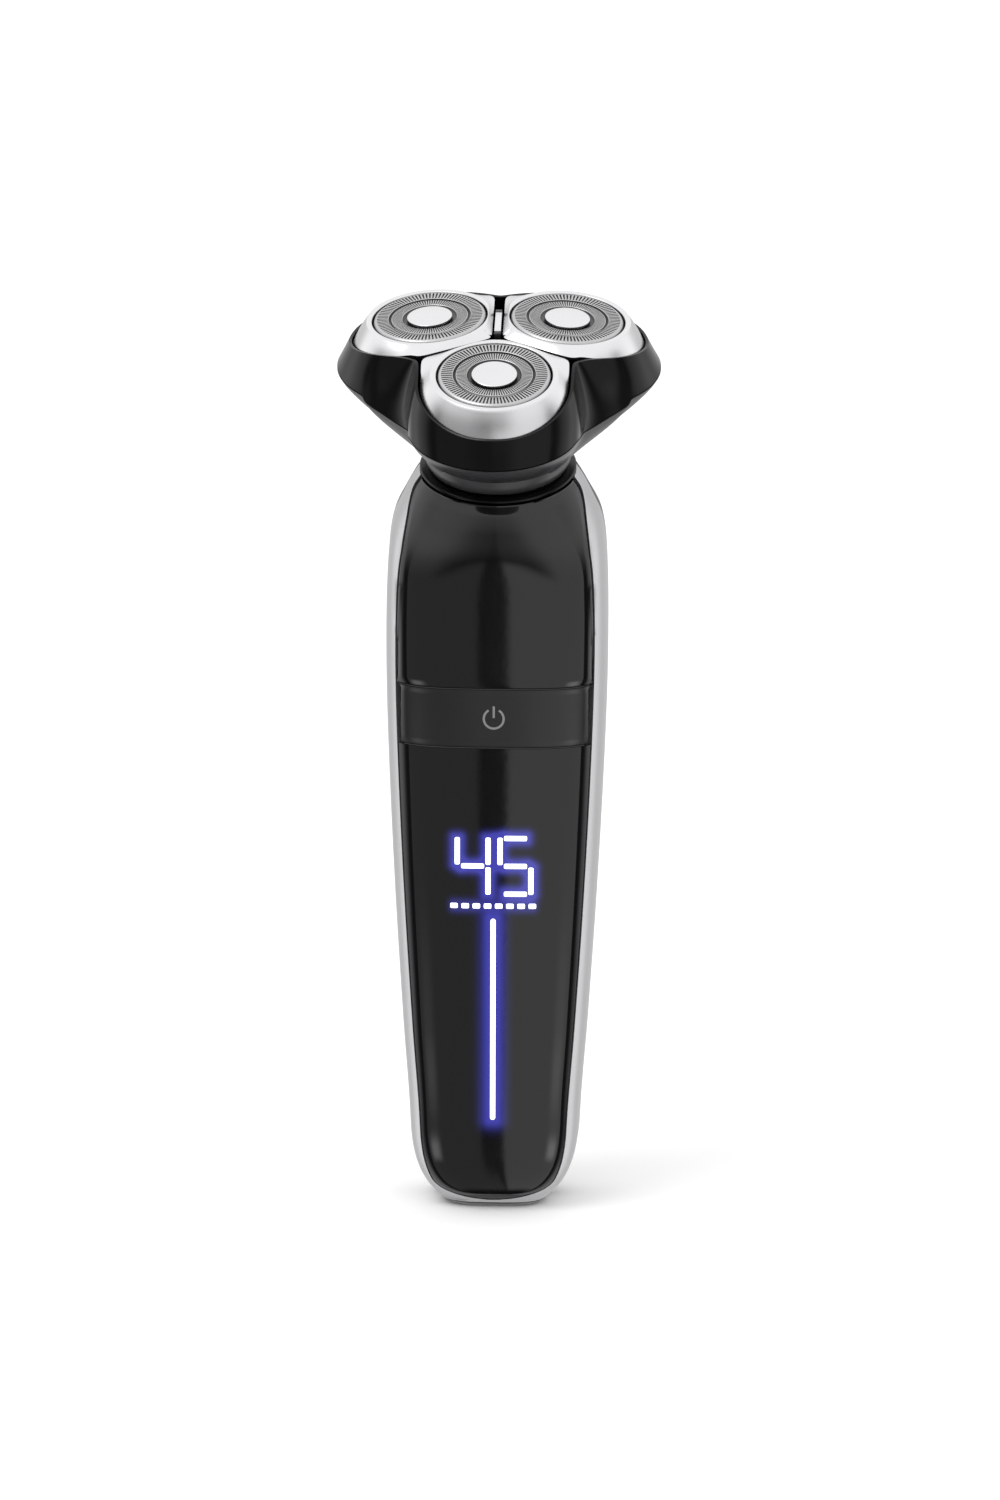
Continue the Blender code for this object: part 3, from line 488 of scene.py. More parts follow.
def bent_slab(surface, columns, rows, thickness=WALL, edge=EDGE_ROUND):
    bm = bmesh.new()
    bmesh.ops.create_grid(bm, x_segments=columns, y_segments=rows, size=1.0)
    walls = bmesh.ops.extrude_face_region(bm, geom=bm.faces[:], use_keep_orig=True)
    bmesh.ops.translate(bm, verts=points_in(walls["geom"]), vec=(0, 0, -1))
    for vert in bm.verts:
        vert.co = surface((vert.co.x + 1) / 2, (vert.co.y + 1) / 2, -vert.co.z * thickness)
    if edge:
        soften(bm, edge, angle=math.radians(50))
    return bm


# %% Where the panels end
FRAME_WIDTH, FRAME_WIDTH_AT_RIM = 2.45 * MM, 0.6 * MM
FRAME_NARROWS_FROM, FRAME_NARROWS_TO = 132 * MM, 142 * MM
TONGUE_END, TONGUE_SHOULDER = 1.9 * MM, 5.5 * MM
BUTTON_SIDE_GAP = 0.6 * MM
button_low, button_high = (corner.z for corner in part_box("power_button"))
BUTTON_BOTTOM = round(button_low / MM, 1) * MM - GAP / 2
BUTTON_TOP = round(button_high / MM, 1) * MM + GAP / 2
print(f"the button band runs from {BUTTON_BOTTOM / MM:.2f} to {BUTTON_TOP / MM:.2f} mm")


def panel_angle(height, outset=0.0):
    """The angle at which the front panel ends and the side frame begins."""
    half_width, front, _, power = handle_section(height)
    narrowing = smooth_step(height, FRAME_NARROWS_FROM, FRAME_NARROWS_TO)
    width = FRAME_WIDTH + (FRAME_WIDTH_AT_RIM - FRAME_WIDTH) * narrowing
    edge = half_width - width + outset
    if height < TONGUE_SHOULDER:
        drop = (TONGUE_SHOULDER - height) / (TONGUE_SHOULDER - TONGUE_END + outset)
        edge *= math.sqrt(max(0.02, 1 - drop ** 2))
    y = front * (1 - (edge / half_width) ** power) ** (1 / power)
    return math.atan2(edge, y)


SHOULDER_BEND, HEEL_BEND = (124 * MM, 134 * MM), (4 * MM, 18 * MM)
CLOSER_AT_SHOULDER, CLOSER_AT_HEEL = 0.75, 0.8


def row_heights(low, high, rows):
    """Rows that stand closer where the skin bends, at the heel and at the shoulder."""
    weights = []
    for row in range(rows):
        middle = low + (high - low) * (row + 0.5) / rows
        weights.append(1.0 - CLOSER_AT_SHOULDER * smooth_step(middle, *SHOULDER_BEND)
                       - CLOSER_AT_HEEL * (1 - smooth_step(middle, *HEEL_BEND)))
    heights, total = [low], sum(weights)
    for weight in weights:
        heights.append(heights[-1] + (high - low) * weight / total)
    return heights


def front_slab(heights, outset=0.0, columns=56):
    rows = len(heights) - 1

    def surface(u, v, depth):
        height = heights[round(v * rows)]
        return handle_point((2 * u - 1) * panel_angle(height, outset), height, depth)

    return bent_slab(surface, columns, rows)


# %% The two panels and the band
LOWER_STEPS, BAND_STEPS, UPPER_STEPS = 84, 16, 60
LOWER_ROWS = row_heights(TONGUE_END, BUTTON_BOTTOM - GAP / 2, LOWER_STEPS)
UPPER_ROWS = row_heights(BUTTON_TOP + GAP / 2, RIM_HEIGHT, UPPER_STEPS)
BAND_ROWS = row_heights(BUTTON_BOTTOM + GAP / 2, BUTTON_TOP - GAP / 2, BAND_STEPS)
make_piece("upper_panel", front_slab(UPPER_ROWS), "gloss_black", "handle", "front_panel_upper")
make_piece("button_band", front_slab(BAND_ROWS, -BUTTON_SIDE_GAP), "satin_black", "button",
           "power_button")

# %% [markdown]
# ## The display
# The numbers shine through the smoked lower panel. Each digit is built from the bars of a
# seven-segment display, so one table of bars serves both digits. The bars are thin slabs laid on
# the skin. The panel round them glows blue, because its plastic scatters some of the light.

# %% The bars of a digit
BAR_WIDTH, BAR_GAP = 1.0 * MM, 0.25 * MM
DIGIT_HALF_WIDTH, DIGIT_HALF_HEIGHT = 2.95 * MM, 5.5 * MM
DISPLAY_LEVEL = 69.2 * MM
DIGIT_MIDDLES = {"four": -3.95 * MM, "five": 4.25 * MM}
LIT_BARS = {
    "four": ("upper left", "upper right", "middle", "lower right"),
    "five": ("top", "upper left", "middle", "lower right", "bottom"),
}


def bar_box(bar):
    """Middle and half size of a bar, measured from the digit's middle."""
    upright = DIGIT_HALF_HEIGHT / 2 - BAR_GAP
    lying = DIGIT_HALF_WIDTH - BAR_WIDTH / 2 - BAR_GAP
    rows = {"top": DIGIT_HALF_HEIGHT, "middle": 0, "bottom": -DIGIT_HALF_HEIGHT}
    if bar in rows:
        return (0, rows[bar]), (lying, BAR_WIDTH / 2)
    x = -DIGIT_HALF_WIDTH if "left" in bar else DIGIT_HALF_WIDTH
    z = DIGIT_HALF_HEIGHT / 2 if "upper" in bar else -DIGIT_HALF_HEIGHT / 2
    reach = BAR_WIDTH / 2 - BAR_GAP / 2
    return (x, z + math.copysign(reach / 2, z)), (BAR_WIDTH / 2, upright + reach / 2)


LIT_BOXES = []
for digit, middle in DIGIT_MIDDLES.items():
    for bar in LIT_BARS[digit]:
        (x, z), half_size = bar_box(bar)
        LIT_BOXES.append((digit, (middle + x, DISPLAY_LEVEL + z), half_size))
print(len(LIT_BOXES), "lit bars; a digit is", (2 * DIGIT_HALF_HEIGHT + BAR_WIDTH) / MM, "mm high")

# %% Laying a flat mark on the front
LIGHT_BAR_BOTTOM, LIGHT_BAR_TOP = 18.7 * MM, 58.8 * MM
CHARGE_ROW_LEVEL, CHARGE_MARKS, CHARGE_ROW_WIDTH = 61.3 * MM, 8, 15.0 * MM
CHARGE_MARK_HALF_SIZE = (0.72 * MM, 0.5 * MM)
LIT_PROUD, LIT_THICKNESS = 0.02 * MM, 0.15 * MM
DIGIT_CORNER, CHARGE_MARK_CORNER, LIGHT_BAR_CORNER = 0.3 * MM, 0.25 * MM, 0.5 * MM


def front_depth(x, height):
    half_width, front, _, power = handle_section(height)
    return -front * (1 - abs(x / half_width) ** power) ** (1 / power)


def on_front(bm, proud=LIT_PROUD, thickness=LIT_THICKNESS):
    """Lay a flat mesh, drawn in X and Y, on the front skin, with Y as the height."""
    made = bmesh.ops.extrude_face_region(bm, geom=bm.faces[:], use_keep_orig=True)["geom"]
    top = set(points_in(made))
    for vert in bm.verts:
        x, height = vert.co.x, vert.co.y
        depth = -proud if vert in top else thickness - proud
        vert.co = (x, front_depth(x, height) + depth, height)


def rounded_box(bm, middle, half_size, corner, cells=4):
    """A flat rectangle with round corners, as a grid whose corners are bevelled."""
    half_width, half_height = half_size
    columns, rows = (cells, 1) if half_width > half_height else (1, cells)
    made = bmesh.ops.create_grid(bm, x_segments=columns, y_segments=rows, size=1.0)["verts"]
    bmesh.ops.scale(bm, verts=made, vec=(half_width, half_height, 1))
    corners = [vert for vert in made if len(vert.link_edges) == 2]
    bmesh.ops.translate(bm, verts=made, vec=(*middle, 0))
    bmesh.ops.bevel(bm, geom=corners, offset=corner, segments=4, profile=0.5,
                    affect="VERTICES", material=-1)


# %% Digits, charge marks and the light bar
for digit in DIGIT_MIDDLES:
    bm = bmesh.new()
    for owner, middle, half_size in LIT_BOXES:
        if owner == digit:
            rounded_box(bm, middle, half_size, DIGIT_CORNER)
    on_front(bm)
    make_piece(f"digit_{digit}", bm, "display_light", "handle")

bm = bmesh.new()
pitch = CHARGE_ROW_WIDTH / (CHARGE_MARKS - 1)
for mark in range(CHARGE_MARKS):
    x = (mark - (CHARGE_MARKS - 1) / 2) * pitch
    rounded_box(bm, (x, CHARGE_ROW_LEVEL), CHARGE_MARK_HALF_SIZE, CHARGE_MARK_CORNER, 2)
on_front(bm)
make_piece("charge_marks", bm, "display_light", "handle")

bm = bmesh.new()
bar_middle = (LIGHT_BAR_BOTTOM + LIGHT_BAR_TOP) / 2
bar_half = (LIGHT_BAR_TOP - LIGHT_BAR_BOTTOM) / 2
rounded_box(bm, (0, bar_middle), (BAR_WIDTH / 2, bar_half), LIGHT_BAR_CORNER, 40)
on_front(bm)
make_piece("light_bar", bm, "display_light", "handle")

# %% [markdown]
# The glow is worked out in the panel's material. For each lit bar, the squared distance from a
# point of the panel to the bar's box is found from the object's own coordinates, and the light
# falls off as a bell curve of it. The sum over the bars colours the panel's emission.

# %% The panel that glows
GLOW_REACH, DIGIT_GLOW_REACH, ROW_GLOW_REACH = 1.7 * MM, 1.1 * MM, 1.0 * MM
ROW_HALF_HEIGHT, ROW_GLOW, GLOW_COLOUR = 0.4 * MM, 0.5, (0.055, 0.055, 0.42)


def bell_of_box(recipe, x, z, middle, half_size, reach):
    dx = ((x - middle[0]).math("ABSOLUTE") - half_size[0]).math("MAXIMUM", 0.0) / reach
    dz = ((z - middle[1]).math("ABSOLUTE") - half_size[1]).math("MAXIMUM", 0.0) / reach
    return recipe.node("ShaderNodeMath", {"operation": "POWER"}, [math.exp(-1), dx * dx + dz * dz])


glow_panel = gloss_plastic("smoked display panel", (0.0035, 0.0035, 0.004))
place = glow_panel.node("ShaderNodeTexCoord", output="Object")
parts = glow_panel.node("ShaderNodeSeparateXYZ", inputs=[place])
across, upwards = (Wire(glow_panel, parts.socket.node.outputs[axis]) for axis in "XZ")
light = bell_of_box(glow_panel, across, upwards, (0, bar_middle), (BAR_WIDTH / 2, bar_half), GLOW_REACH)
row_half = (CHARGE_ROW_WIDTH / 2, ROW_HALF_HEIGHT)
light = light + ROW_GLOW * bell_of_box(glow_panel, across, upwards, (0, CHARGE_ROW_LEVEL), row_half,
                                  ROW_GLOW_REACH)
for _, middle, half_size in LIT_BOXES:
    light = light + bell_of_box(glow_panel, across, upwards, middle, half_size, DIGIT_GLOW_REACH)
dress(glow_panel, Emission_Strength=1.0,
      Emission_Color=blend(glow_panel, light.math("MINIMUM", 1.0), (0.0, 0.0, 0.0), GLOW_COLOUR))
FINISHES["smoked_panel"] = glow_panel
make_piece("lower_panel", front_slab(LOWER_ROWS), "smoked_panel", "handle", "front_panel_lower")

# %% [markdown]
# ## The power mark
# The mark on the button is printed: an open ring with a short stroke at its gap. The ring is a
# small flat strip spun round the middle of the mark, and both parts are laid on the skin.

# %% Ring and stroke
MARK_LEVEL, MARK_RADIUS, MARK_LINE = 98.2 * MM, 1.9 * MM, 0.42 * MM
MARK_OPENING = math.radians(62)
STROKE_RISE, STROKE_HALF_LENGTH = 1.3 * MM, 1.15 * MM
INK_PROUD, INK_THICKNESS = 0.015 * MM, 0.1 * MM
FINISHES["printed_grey"] = satin_plastic("printed grey ink", (0.2, 0.2, 0.205), 0.4, 0.004 * MM)
bm = bmesh.new()
ends = [bm.verts.new((0, MARK_RADIUS + side * MARK_LINE / 2, 0)) for side in (-1, 1)]
strip = bm.edges.new(ends)
bmesh.ops.rotate(bm, verts=ends, matrix=Matrix.Rotation(MARK_OPENING / 2, 3, "Z"))
bmesh.ops.spin(bm, geom=[*ends, strip], angle=2 * math.pi - MARK_OPENING, steps=40,
               use_duplicate=False, **ROUND_Z)
bmesh.ops.translate(bm, verts=bm.verts, vec=(0, MARK_LEVEL, 0))
rounded_box(bm, (0, MARK_LEVEL + STROKE_RISE), (MARK_LINE / 2, STROKE_HALF_LENGTH), 0.12 * MM)
on_front(bm, INK_PROUD, INK_THICKNESS)
make_piece("power_mark", bm, "printed_grey", "button")

# %% [markdown]
# ## Silver side frame
# One lacquered band runs up both sides and round under the heel. It is a single strip: its
# length follows the panel's edge, turns round the tongue at the bottom, and goes up the other
# side, and its width reaches round the handle to the rear cover.

# %% The frame's two legs and the turn at the heel
BASE_EDGE = 0.9 * MM
FRAME_REAR_ANGLE, REAR_SEAM = math.radians(98), math.radians(1.6)
FRAME_TURN_STEPS, FRAME_ROWS = 18, 14


def frame_height(height):
    """Where the frame's inner edge passes a point of the panel's edge, one gap below its end."""
    if height >= TONGUE_SHOULDER:
        return height
    stretch = 1 + GAP / (TONGUE_SHOULDER - TONGUE_END)
    return TONGUE_SHOULDER - (TONGUE_SHOULDER - height) * stretch


LEGS = [frame_height(height) for height in LOWER_ROWS + BAND_ROWS[1:-1] + UPPER_ROWS]
LEG_STEPS = len(LEGS) - 1
FRAME_COLUMNS = 2 * (LEG_STEPS + FRAME_TURN_STEPS)


def frame_surface(u, v, depth):
    stop = round(u * FRAME_COLUMNS)
    side = -1 if stop < FRAME_COLUMNS / 2 else 1
    rank = min(stop, FRAME_COLUMNS - stop)
    if rank <= LEG_STEPS:
        height = LEGS[LEG_STEPS - rank]
        inner_angle, outer_angle = panel_angle(height, GAP), FRAME_REAR_ANGLE
        low = BASE_EDGE + (height - LEGS[0]) * (RIM_HEIGHT - BASE_EDGE) / (RIM_HEIGHT - LEGS[0])
    else:
        share = 1 - (rank - LEG_STEPS) / FRAME_TURN_STEPS
        height, low = LEGS[0], BASE_EDGE
        inner_angle, outer_angle = panel_angle(height, GAP) * share, FRAME_REAR_ANGLE * share
    across = 1 - v
    return handle_point(side * (inner_angle + (outer_angle - inner_angle) * across),
                        height + (low - height) * across, depth)


make_piece("silver_frame", bent_slab(frame_surface, FRAME_COLUMNS, FRAME_ROWS), "satin_silver",
           "handle", "side_frame")

# %% [markdown]
# ## Rear cover and grip
# The back is a satin shell with a soft grip moulded over it. Shallow ribs across the grip stop
# wet fingers from slipping. They are a smooth wave in the slab's outer face, and they fade out
# towards its rim so that the rim stays clean.

# %% Rear shell and ribbed grip
GRIP_LOW, GRIP_HIGH, GRIP_HALF_ANGLE = 28 * MM, 116 * MM, math.radians(44)
GRIP_TAPER, TAPER_POWER = 0.35, 6
GRIP_PROUD, GRIP_THICKNESS, GRIP_EDGE = 1.1 * MM, 0.8 * MM, 0.3 * MM
RIB_HEIGHT, RIB_COUNT, STEPS_A_RIB = 0.4 * MM, 26, 12
# the shares of the grip's width and height over which the ribs fade in from the rim
SIDE_RIM, END_RIM = (0.04, 0.14), (0.01, 0.035)
REAR_COLUMNS, REAR_STEPS = 48, 120
REAR_ROWS = row_heights(BASE_EDGE, RIM_HEIGHT, REAR_STEPS)


def rear_surface(u, v, depth):
    start = FRAME_REAR_ANGLE + REAR_SEAM
    return handle_point(start + 2 * (math.pi - start) * u, REAR_ROWS[round(v * REAR_STEPS)], depth)


def grip_surface(u, v, depth):
    height = GRIP_LOW + (GRIP_HIGH - GRIP_LOW) * v
    half_angle = GRIP_HALF_ANGLE * (1 - GRIP_TAPER * abs(2 * v - 1) ** TAPER_POWER)
    proud = GRIP_PROUD
    if depth == 0:
        rim = min(smooth_step(min(u, 1 - u), *SIDE_RIM), smooth_step(min(v, 1 - v), *END_RIM))
        proud -= RIB_HEIGHT * rim * (0.5 + 0.5 * math.cos(2 * math.pi * RIB_COUNT * v)) ** 2
    return handle_point(math.pi + half_angle * (2 * u - 1), height, depth - proud)


make_piece("rear_shell", bent_slab(rear_surface, REAR_COLUMNS, REAR_STEPS), "satin_black", "handle",
           "rear_cover")
grip = bent_slab(grip_surface, REAR_COLUMNS, RIB_COUNT * STEPS_A_RIB, GRIP_THICKNESS, GRIP_EDGE)
make_piece("ribbed_grip", grip, "rubber", "handle", "rear_grip")

# %% [markdown]
# ## Shapes drawn round an axis
# The head's shells are lobed, so they can't be turned on a lathe, but they can be drawn ring by
# ring: a circle of edges is extruded again and again, and each copy is laid on the next
# outline. Every point remembers its angle in a vertex layer, which the extrusion copies.

# %% Ring by ring, and turned parts


def ring_by_ring(rings, count):
    """A shell from rings, each a function from an angle to a point."""
    bm = bmesh.new()
    turn = bm.verts.layers.float.new("turn")
    circle = bmesh.ops.create_circle(bm, segments=count, radius=1.0)["verts"]
    for vert in circle:
        vert[turn] = math.atan2(vert.co.y, vert.co.x)
        vert.co = rings[0](vert[turn])
    edges = bm.edges[:]
    for ring in rings[1:]:
        made = bmesh.ops.extrude_edge_only(bm, edges=edges)["geom"]
        fresh = set(points_in(made))
        for vert in fresh:
            vert.co = ring(vert[turn])
        edges = [item for item in made if isinstance(item, bmesh.types.BMEdge)
                 and fresh.issuperset(item.verts)]
    merge_points(bm)
    return bm


def turned(profile, steps=128):
    """A profile of (radius, height) pairs, in millimetres, spun round Z."""
    bm = bmesh.new()
    corners = [bm.verts.new((radius * MM, 0, height * MM)) for radius, height in profile]
    edges = [bm.edges.new(pair) for pair in zip(corners, corners[1:])]
    bmesh.ops.spin(bm, geom=[*corners, *edges], angle=2 * math.pi, steps=steps, use_merge=True,
                   use_duplicate=False, **ROUND_Z)
    merge_points(bm)
    return bm


def add_turned_uv(bm, centre=(0, 0)):
    """A UV map of turns and metres from the centre, for marks that run round the axis."""
    layer = bm.loops.layers.uv.new("turned")
    for face in bm.faces:
        middle = face.calc_center_median()
        middle_turn = math.atan2(middle.y - centre[1], middle.x - centre[0])
        for loop in face.loops:
            x, y = loop.vert.co.x - centre[0], loop.vert.co.y - centre[1]
            turn = math.atan2(y, x)
            turn += 2 * math.pi * round((middle_turn - turn) / (2 * math.pi))
            loop[layer].uv = (turn / (2 * math.pi), math.hypot(x, y) / MM)


# %% [markdown]
# The lobes share one outline: round tips, straight sides between them, and a rounded valley
# where two lobes meet. The outline's radius depends only on the angle from the nearest lobe.

# %% The lobed outline
VALLEY_ROUNDING = 0.985
SEAM_LOBE, HOLDER_TOP_LOBE = (17.0 * MM, 16.3 * MM), (15.8 * MM, 15.0 * MM)
SEAM_LEVEL, SEAM_DIP = 16.2 * MM, 4.2 * MM
HOLDER_TOP, HOLDER_RISE = 21.4 * MM, 5.1 * MM
NOTCH_DEPTH = 0.9 * MM
# angles from the lobe's tip over which the seam and the holder's edge fall, rise or step
SEAM_DIP_ANGLES, HOLDER_RISE_ANGLES, NOTCH_STEP, NOTCH_FADE = (
    tuple(math.radians(angle) for angle in pair)
    for pair in ((35, 58), (5, 58), (37.6, 39.2), (40, 56)))


def valley_angle(angle, rounding=VALLEY_ROUNDING):
    """Angle to the nearest lobe, rounded where two lobes meet."""
    return math.acos(rounding * math.cos(3 * (angle - math.radians(30)))) / 3


def lobe_radius(away, lobe, inset=0.0):
    reach, radius = lobe[0], lobe[1] - inset
    if math.tan(away) < radius / reach:
        return reach * math.cos(away) + math.sqrt(radius ** 2 - (reach * math.sin(away)) ** 2)
    return radius / math.sin(away)


def seam_level(angle):
    """Height of the seam between bowl and holder, with a step on the two rear lobes."""
    away = valley_angle(angle)
    level = SEAM_LEVEL - SEAM_DIP * smooth_step(away, *SEAM_DIP_ANGLES)
    on_front_lobe = math.cos(angle + math.pi / 2) > math.cos(math.radians(60))
    if on_front_lobe:
        return level
    notch = smooth_step(away, *NOTCH_STEP) * (1 - smooth_step(away, *NOTCH_FADE))
    return level - NOTCH_DEPTH * notch


def holder_level(away):
    return HOLDER_TOP + HOLDER_RISE * smooth_step(away, *HOLDER_RISE_ANGLES)


def polar(radius, angle, level):
    return Vector((radius * math.cos(angle), radius * math.sin(angle), level))


# %% [markdown]
# ## Bowl, collar and holder
# The bowl that catches the hair grows from a round neck to the lobed seam. The gloss holder
# sits on it and carries the three pods. Both have a real wall, so that they stay closed when
# the holder is lifted off. The collar closes the top of the handle below the bowl.

# %% The bowl
NECK_RADIUS, BOWL_START, BOWL_POWER, BOWL_WALL = 14.2 * MM, 3.2 * MM, 1.25, 1.3 * MM
BOWL_BORE, BOWL_FLOOR = 3.9 * MM, 1.3 * MM
# the bowl's foot is rounded: radius and level in millimetres
BOWL_FOOT = ((13.1, 0.0), (13.4, 0.3), (13.75, 0.9), (14.0, 1.6), (14.14, 2.4))


def bowl_ring(share, inset):
    spread = 1 - (1 - share) ** BOWL_POWER

    def ring(angle):
        seam = lobe_radius(valley_angle(angle), SEAM_LOBE)
        radius = NECK_RADIUS + (seam - NECK_RADIUS) * spread - inset
        top = seam_level(angle) - GAP / 2
        return polar(radius, angle, BOWL_START + (top - BOWL_START) * share)

    return ring


def round_ring(radius, level):
    return lambda angle: polar(radius, angle, level)


SHARES = [step / 14 for step in range(15)]
inside = NECK_RADIUS - BOWL_WALL
rings = [round_ring(BOWL_BORE, BOWL_FLOOR), round_ring(inside, BOWL_FLOOR), round_ring(inside, 0)]
rings += [round_ring(radius * MM, level * MM) for radius, level in BOWL_FOOT]
rings += [bowl_ring(share, 0) for share in SHARES]
rings += [bowl_ring(share, BOWL_WALL) for share in reversed(SHARES[2:])]
rings += [round_ring(inside, BOWL_FLOOR * 2), round_ring(BOWL_BORE, BOWL_FLOOR * 2), rings[0]]
bm = ring_by_ring(rings, 360)
make_piece("hair_bowl", bm, "grey_plastic", "shaving_unit", "hair_chamber", HEAD)

COLLAR = [(12.9, -0.8), (12.9, -0.3), (14.7, -0.3), (14.92, -0.4), (15.0, -0.55), (15.0, -0.8),
          (12.9, -0.8)]
make_piece("collar_ring", turned(COLLAR), "soft_gloss", "handle", "neck_collar", HEAD)

# %% The holder
HOLDER_WALL, HOLDER_BULGE, VALLEY_FILL = 1.2 * MM, 0.22 * MM, 0.07


def holder_ring(share, inset):
    def ring(angle):
        hump = math.sin(math.pi * share) if inset == 0 else 0
        away = valley_angle(angle, VALLEY_ROUNDING - VALLEY_FILL * hump)
        low = lobe_radius(away, SEAM_LOBE, inset)
        high = lobe_radius(away, HOLDER_TOP_LOBE, min(inset, 0.55 * MM))
        bulge = HOLDER_BULGE * hump
        bottom = seam_level(angle) + GAP / 2
        level = bottom + (holder_level(valley_angle(angle)) - bottom) * share
        return polar(low + (high - low) * share + bulge, angle, level)

    return ring


OUTSIDE = [0, 0.04] + [step / 10 for step in range(1, 10)] + [0.97, 1]
rings = [holder_ring(share, 0) for share in OUTSIDE]
rings += [holder_ring(share, HOLDER_WALL) for share in (1, 0.8, 0.5, 0.2, 0)] + [rings[0]]
bm = ring_by_ring(rings, 360)
make_piece("gloss_holder", bm, "soft_gloss", "holder", "holder_shell", HEAD)

# %% [markdown]
# ## Head plates
# Each cap sits in a silver plate that follows its lobe on the outside and is cut straight
# along the gaps to its neighbours. Seen from the cutter's centre, the distance to the edge is
# the smallest of three: the two gap lines and the lobe. A soft minimum rounds the corners.

# %% The outline of a plate
CUTTER_REACH, PLATE_TOP, PLATE_BEVEL, PLATE_SKIN = 15.2 * MM, 6.2 * MM, 0.8 * MM, 0.8 * MM
PLATE_TOP_LOBE, PLATE_SKIRT_LOBE = (15.2 * MM, 13.2 * MM), (15.9 * MM, 14.1 * MM)
PLATE_RIM = 12.2 * MM
PLATE_GAP, BRIDGE_GAP, PLATE_BORE = 0.35 * MM, 1.0 * MM, 11.1 * MM
PLATE_COUNT, CORNER_SHARPNESS, TOP_LEVEL, NARROWEST_LIP = 240, 26, 27.0 * MM, 0.2 * MM
BULGE, PLATE_EDGE, PLATE_SHARP, CEILING_INSET = 0.18 * MM, 0.12 * MM, math.radians(24), 0.6 * MM
# the mouth of the plate's bore, as (outset, drop) from the bore and the top, in millimetres
BORE_MOUTH = ((0, 0.15), (0.06, 0.05), (0.16, 0))


def soft_minimum(limits):
    return sum(limit ** -CORNER_SHARPNESS for limit in limits) ** (-1 / CORNER_SHARPNESS)


def lobe_reach(angle, lobe):
    """From the cutter's centre to the lobe's outline: straight sides and a round tip."""
    reach, radius = lobe
    c, s = math.cos(angle), math.sin(angle)
    offset = CUTTER_REACH - reach
    if abs(s) > 1e-6 and offset + radius * c / abs(s) < 0:
        return radius / abs(s)
    return -offset * c + math.sqrt(radius ** 2 - (offset * s) ** 2)


def plate_reach(angle, lobe, gaps, inset):
    """Distance from the cutter's centre to the edge of the plate, rounded at its corners."""
    limits = [lobe_reach(angle, (lobe[0], lobe[1] - inset))]
    for side, gap in zip((-1, 1), gaps):
        edge = math.radians(60 * side)
        normal = Vector((side * math.sin(edge), -side * math.cos(edge)))
        closing = -(normal.x * math.cos(angle) + normal.y * math.sin(angle))
        if closing > 1e-6:
            limits.append((normal.x * CUTTER_REACH - gap - inset) / closing)
    return soft_minimum(limits)


def to_pod(point):
    """From the head's frame, turned so that this lobe lies along +X, to the pod's frame."""
    dx, dz = point.x - PIVOT_REACH, point.z - PIVOT_LEVEL
    c, s = math.cos(POD_TILT), math.sin(POD_TILT)
    return Vector((dx * c - dz * s, point.y, dx * s + dz * c))


# %% The plate's rings


SKIRT_OVERLAP, SKIRT_LIFT, LIFT_ANGLES, INNER_COSINE = 0.5 * MM, 1.0 * MM, (0.7, 1.0), -0.42


def skirt_level(angle, point):
    """The plate's lower edge follows the holder's upper edge, and is level near the middle."""
    away = abs(math.atan2(point.y, point.x))
    if math.cos(angle) < INNER_COSINE:
        away = math.radians(60)
    return holder_level(away) - SKIRT_OVERLAP + SKIRT_LIFT * smooth_step(away, *LIFT_ANGLES)


def plate_ring(lobe, gaps, inset, level=None):
    def ring(angle):
        reach = plate_reach(angle, lobe, gaps, inset)
        point = Vector((CUTTER_REACH + reach * math.cos(angle), reach * math.sin(angle), TOP_LEVEL))
        if level is None:
            point.z = skirt_level(angle, point)
            pod_point = to_pod(point)
            pod_point.z = min(pod_point.z, PLATE_TOP - PLATE_BEVEL)
            return pod_point
        pod_point = to_pod(point)
        flat = pod_point.xy
        # the circle round the cap, or the distance to the gaps where that is less
        length = soft_minimum((flat.length, PLATE_RIM - inset))
        return Vector((*(flat.normalized() * max(PLATE_BORE + NARROWEST_LIP, length)), level))

    return ring


def skirt_ring(top, skirt, share):
    """A ring part of the way down the skirt, which bulges over the lobe's tip only."""
    def ring(angle):
        bulge = BULGE * smooth_step(math.cos(angle), -0.5, 0.4) * math.sin(math.pi * share)
        out = Vector((math.cos(angle), math.sin(angle), 1.0)).normalized()
        return top(angle).lerp(skirt(angle), share) + out * bulge

    return ring


for side, heading in SIDES.items():
    gaps = tuple(BRIDGE_GAP if round(heading + 60 * way) % 360 == 90 else PLATE_GAP for way in (-1, 1))
    top_gaps = tuple(gap + PLATE_BEVEL for gap in gaps)
    top = plate_ring(PLATE_TOP_LOBE, top_gaps, 0, PLATE_TOP)
    skirt = plate_ring(PLATE_SKIRT_LOBE, gaps, 0)
    inner = plate_ring(PLATE_SKIRT_LOBE, gaps, PLATE_SKIN)
    under = PLATE_TOP - PLATE_SKIN
    ceiling = plate_ring(PLATE_TOP_LOBE, top_gaps, CEILING_INSET, under)
    rings = [round_ring(PLATE_BORE, under)]
    rings += [round_ring(PLATE_BORE + out * MM, PLATE_TOP - drop * MM) for out, drop in BORE_MOUTH]
    rings += [top] + [skirt_ring(top, skirt, step / 10) for step in range(1, 10)]
    rings += [skirt, inner, ceiling, rings[0]]
    bm = ring_by_ring(rings, PLATE_COUNT)
    soften(bm, PLATE_EDGE, 2, PLATE_SHARP)
    make_piece(f"silver_plate_{side}", bm, "bright_silver", f"pod_{side}", f"head_plate_{side}",
               PODS[side])

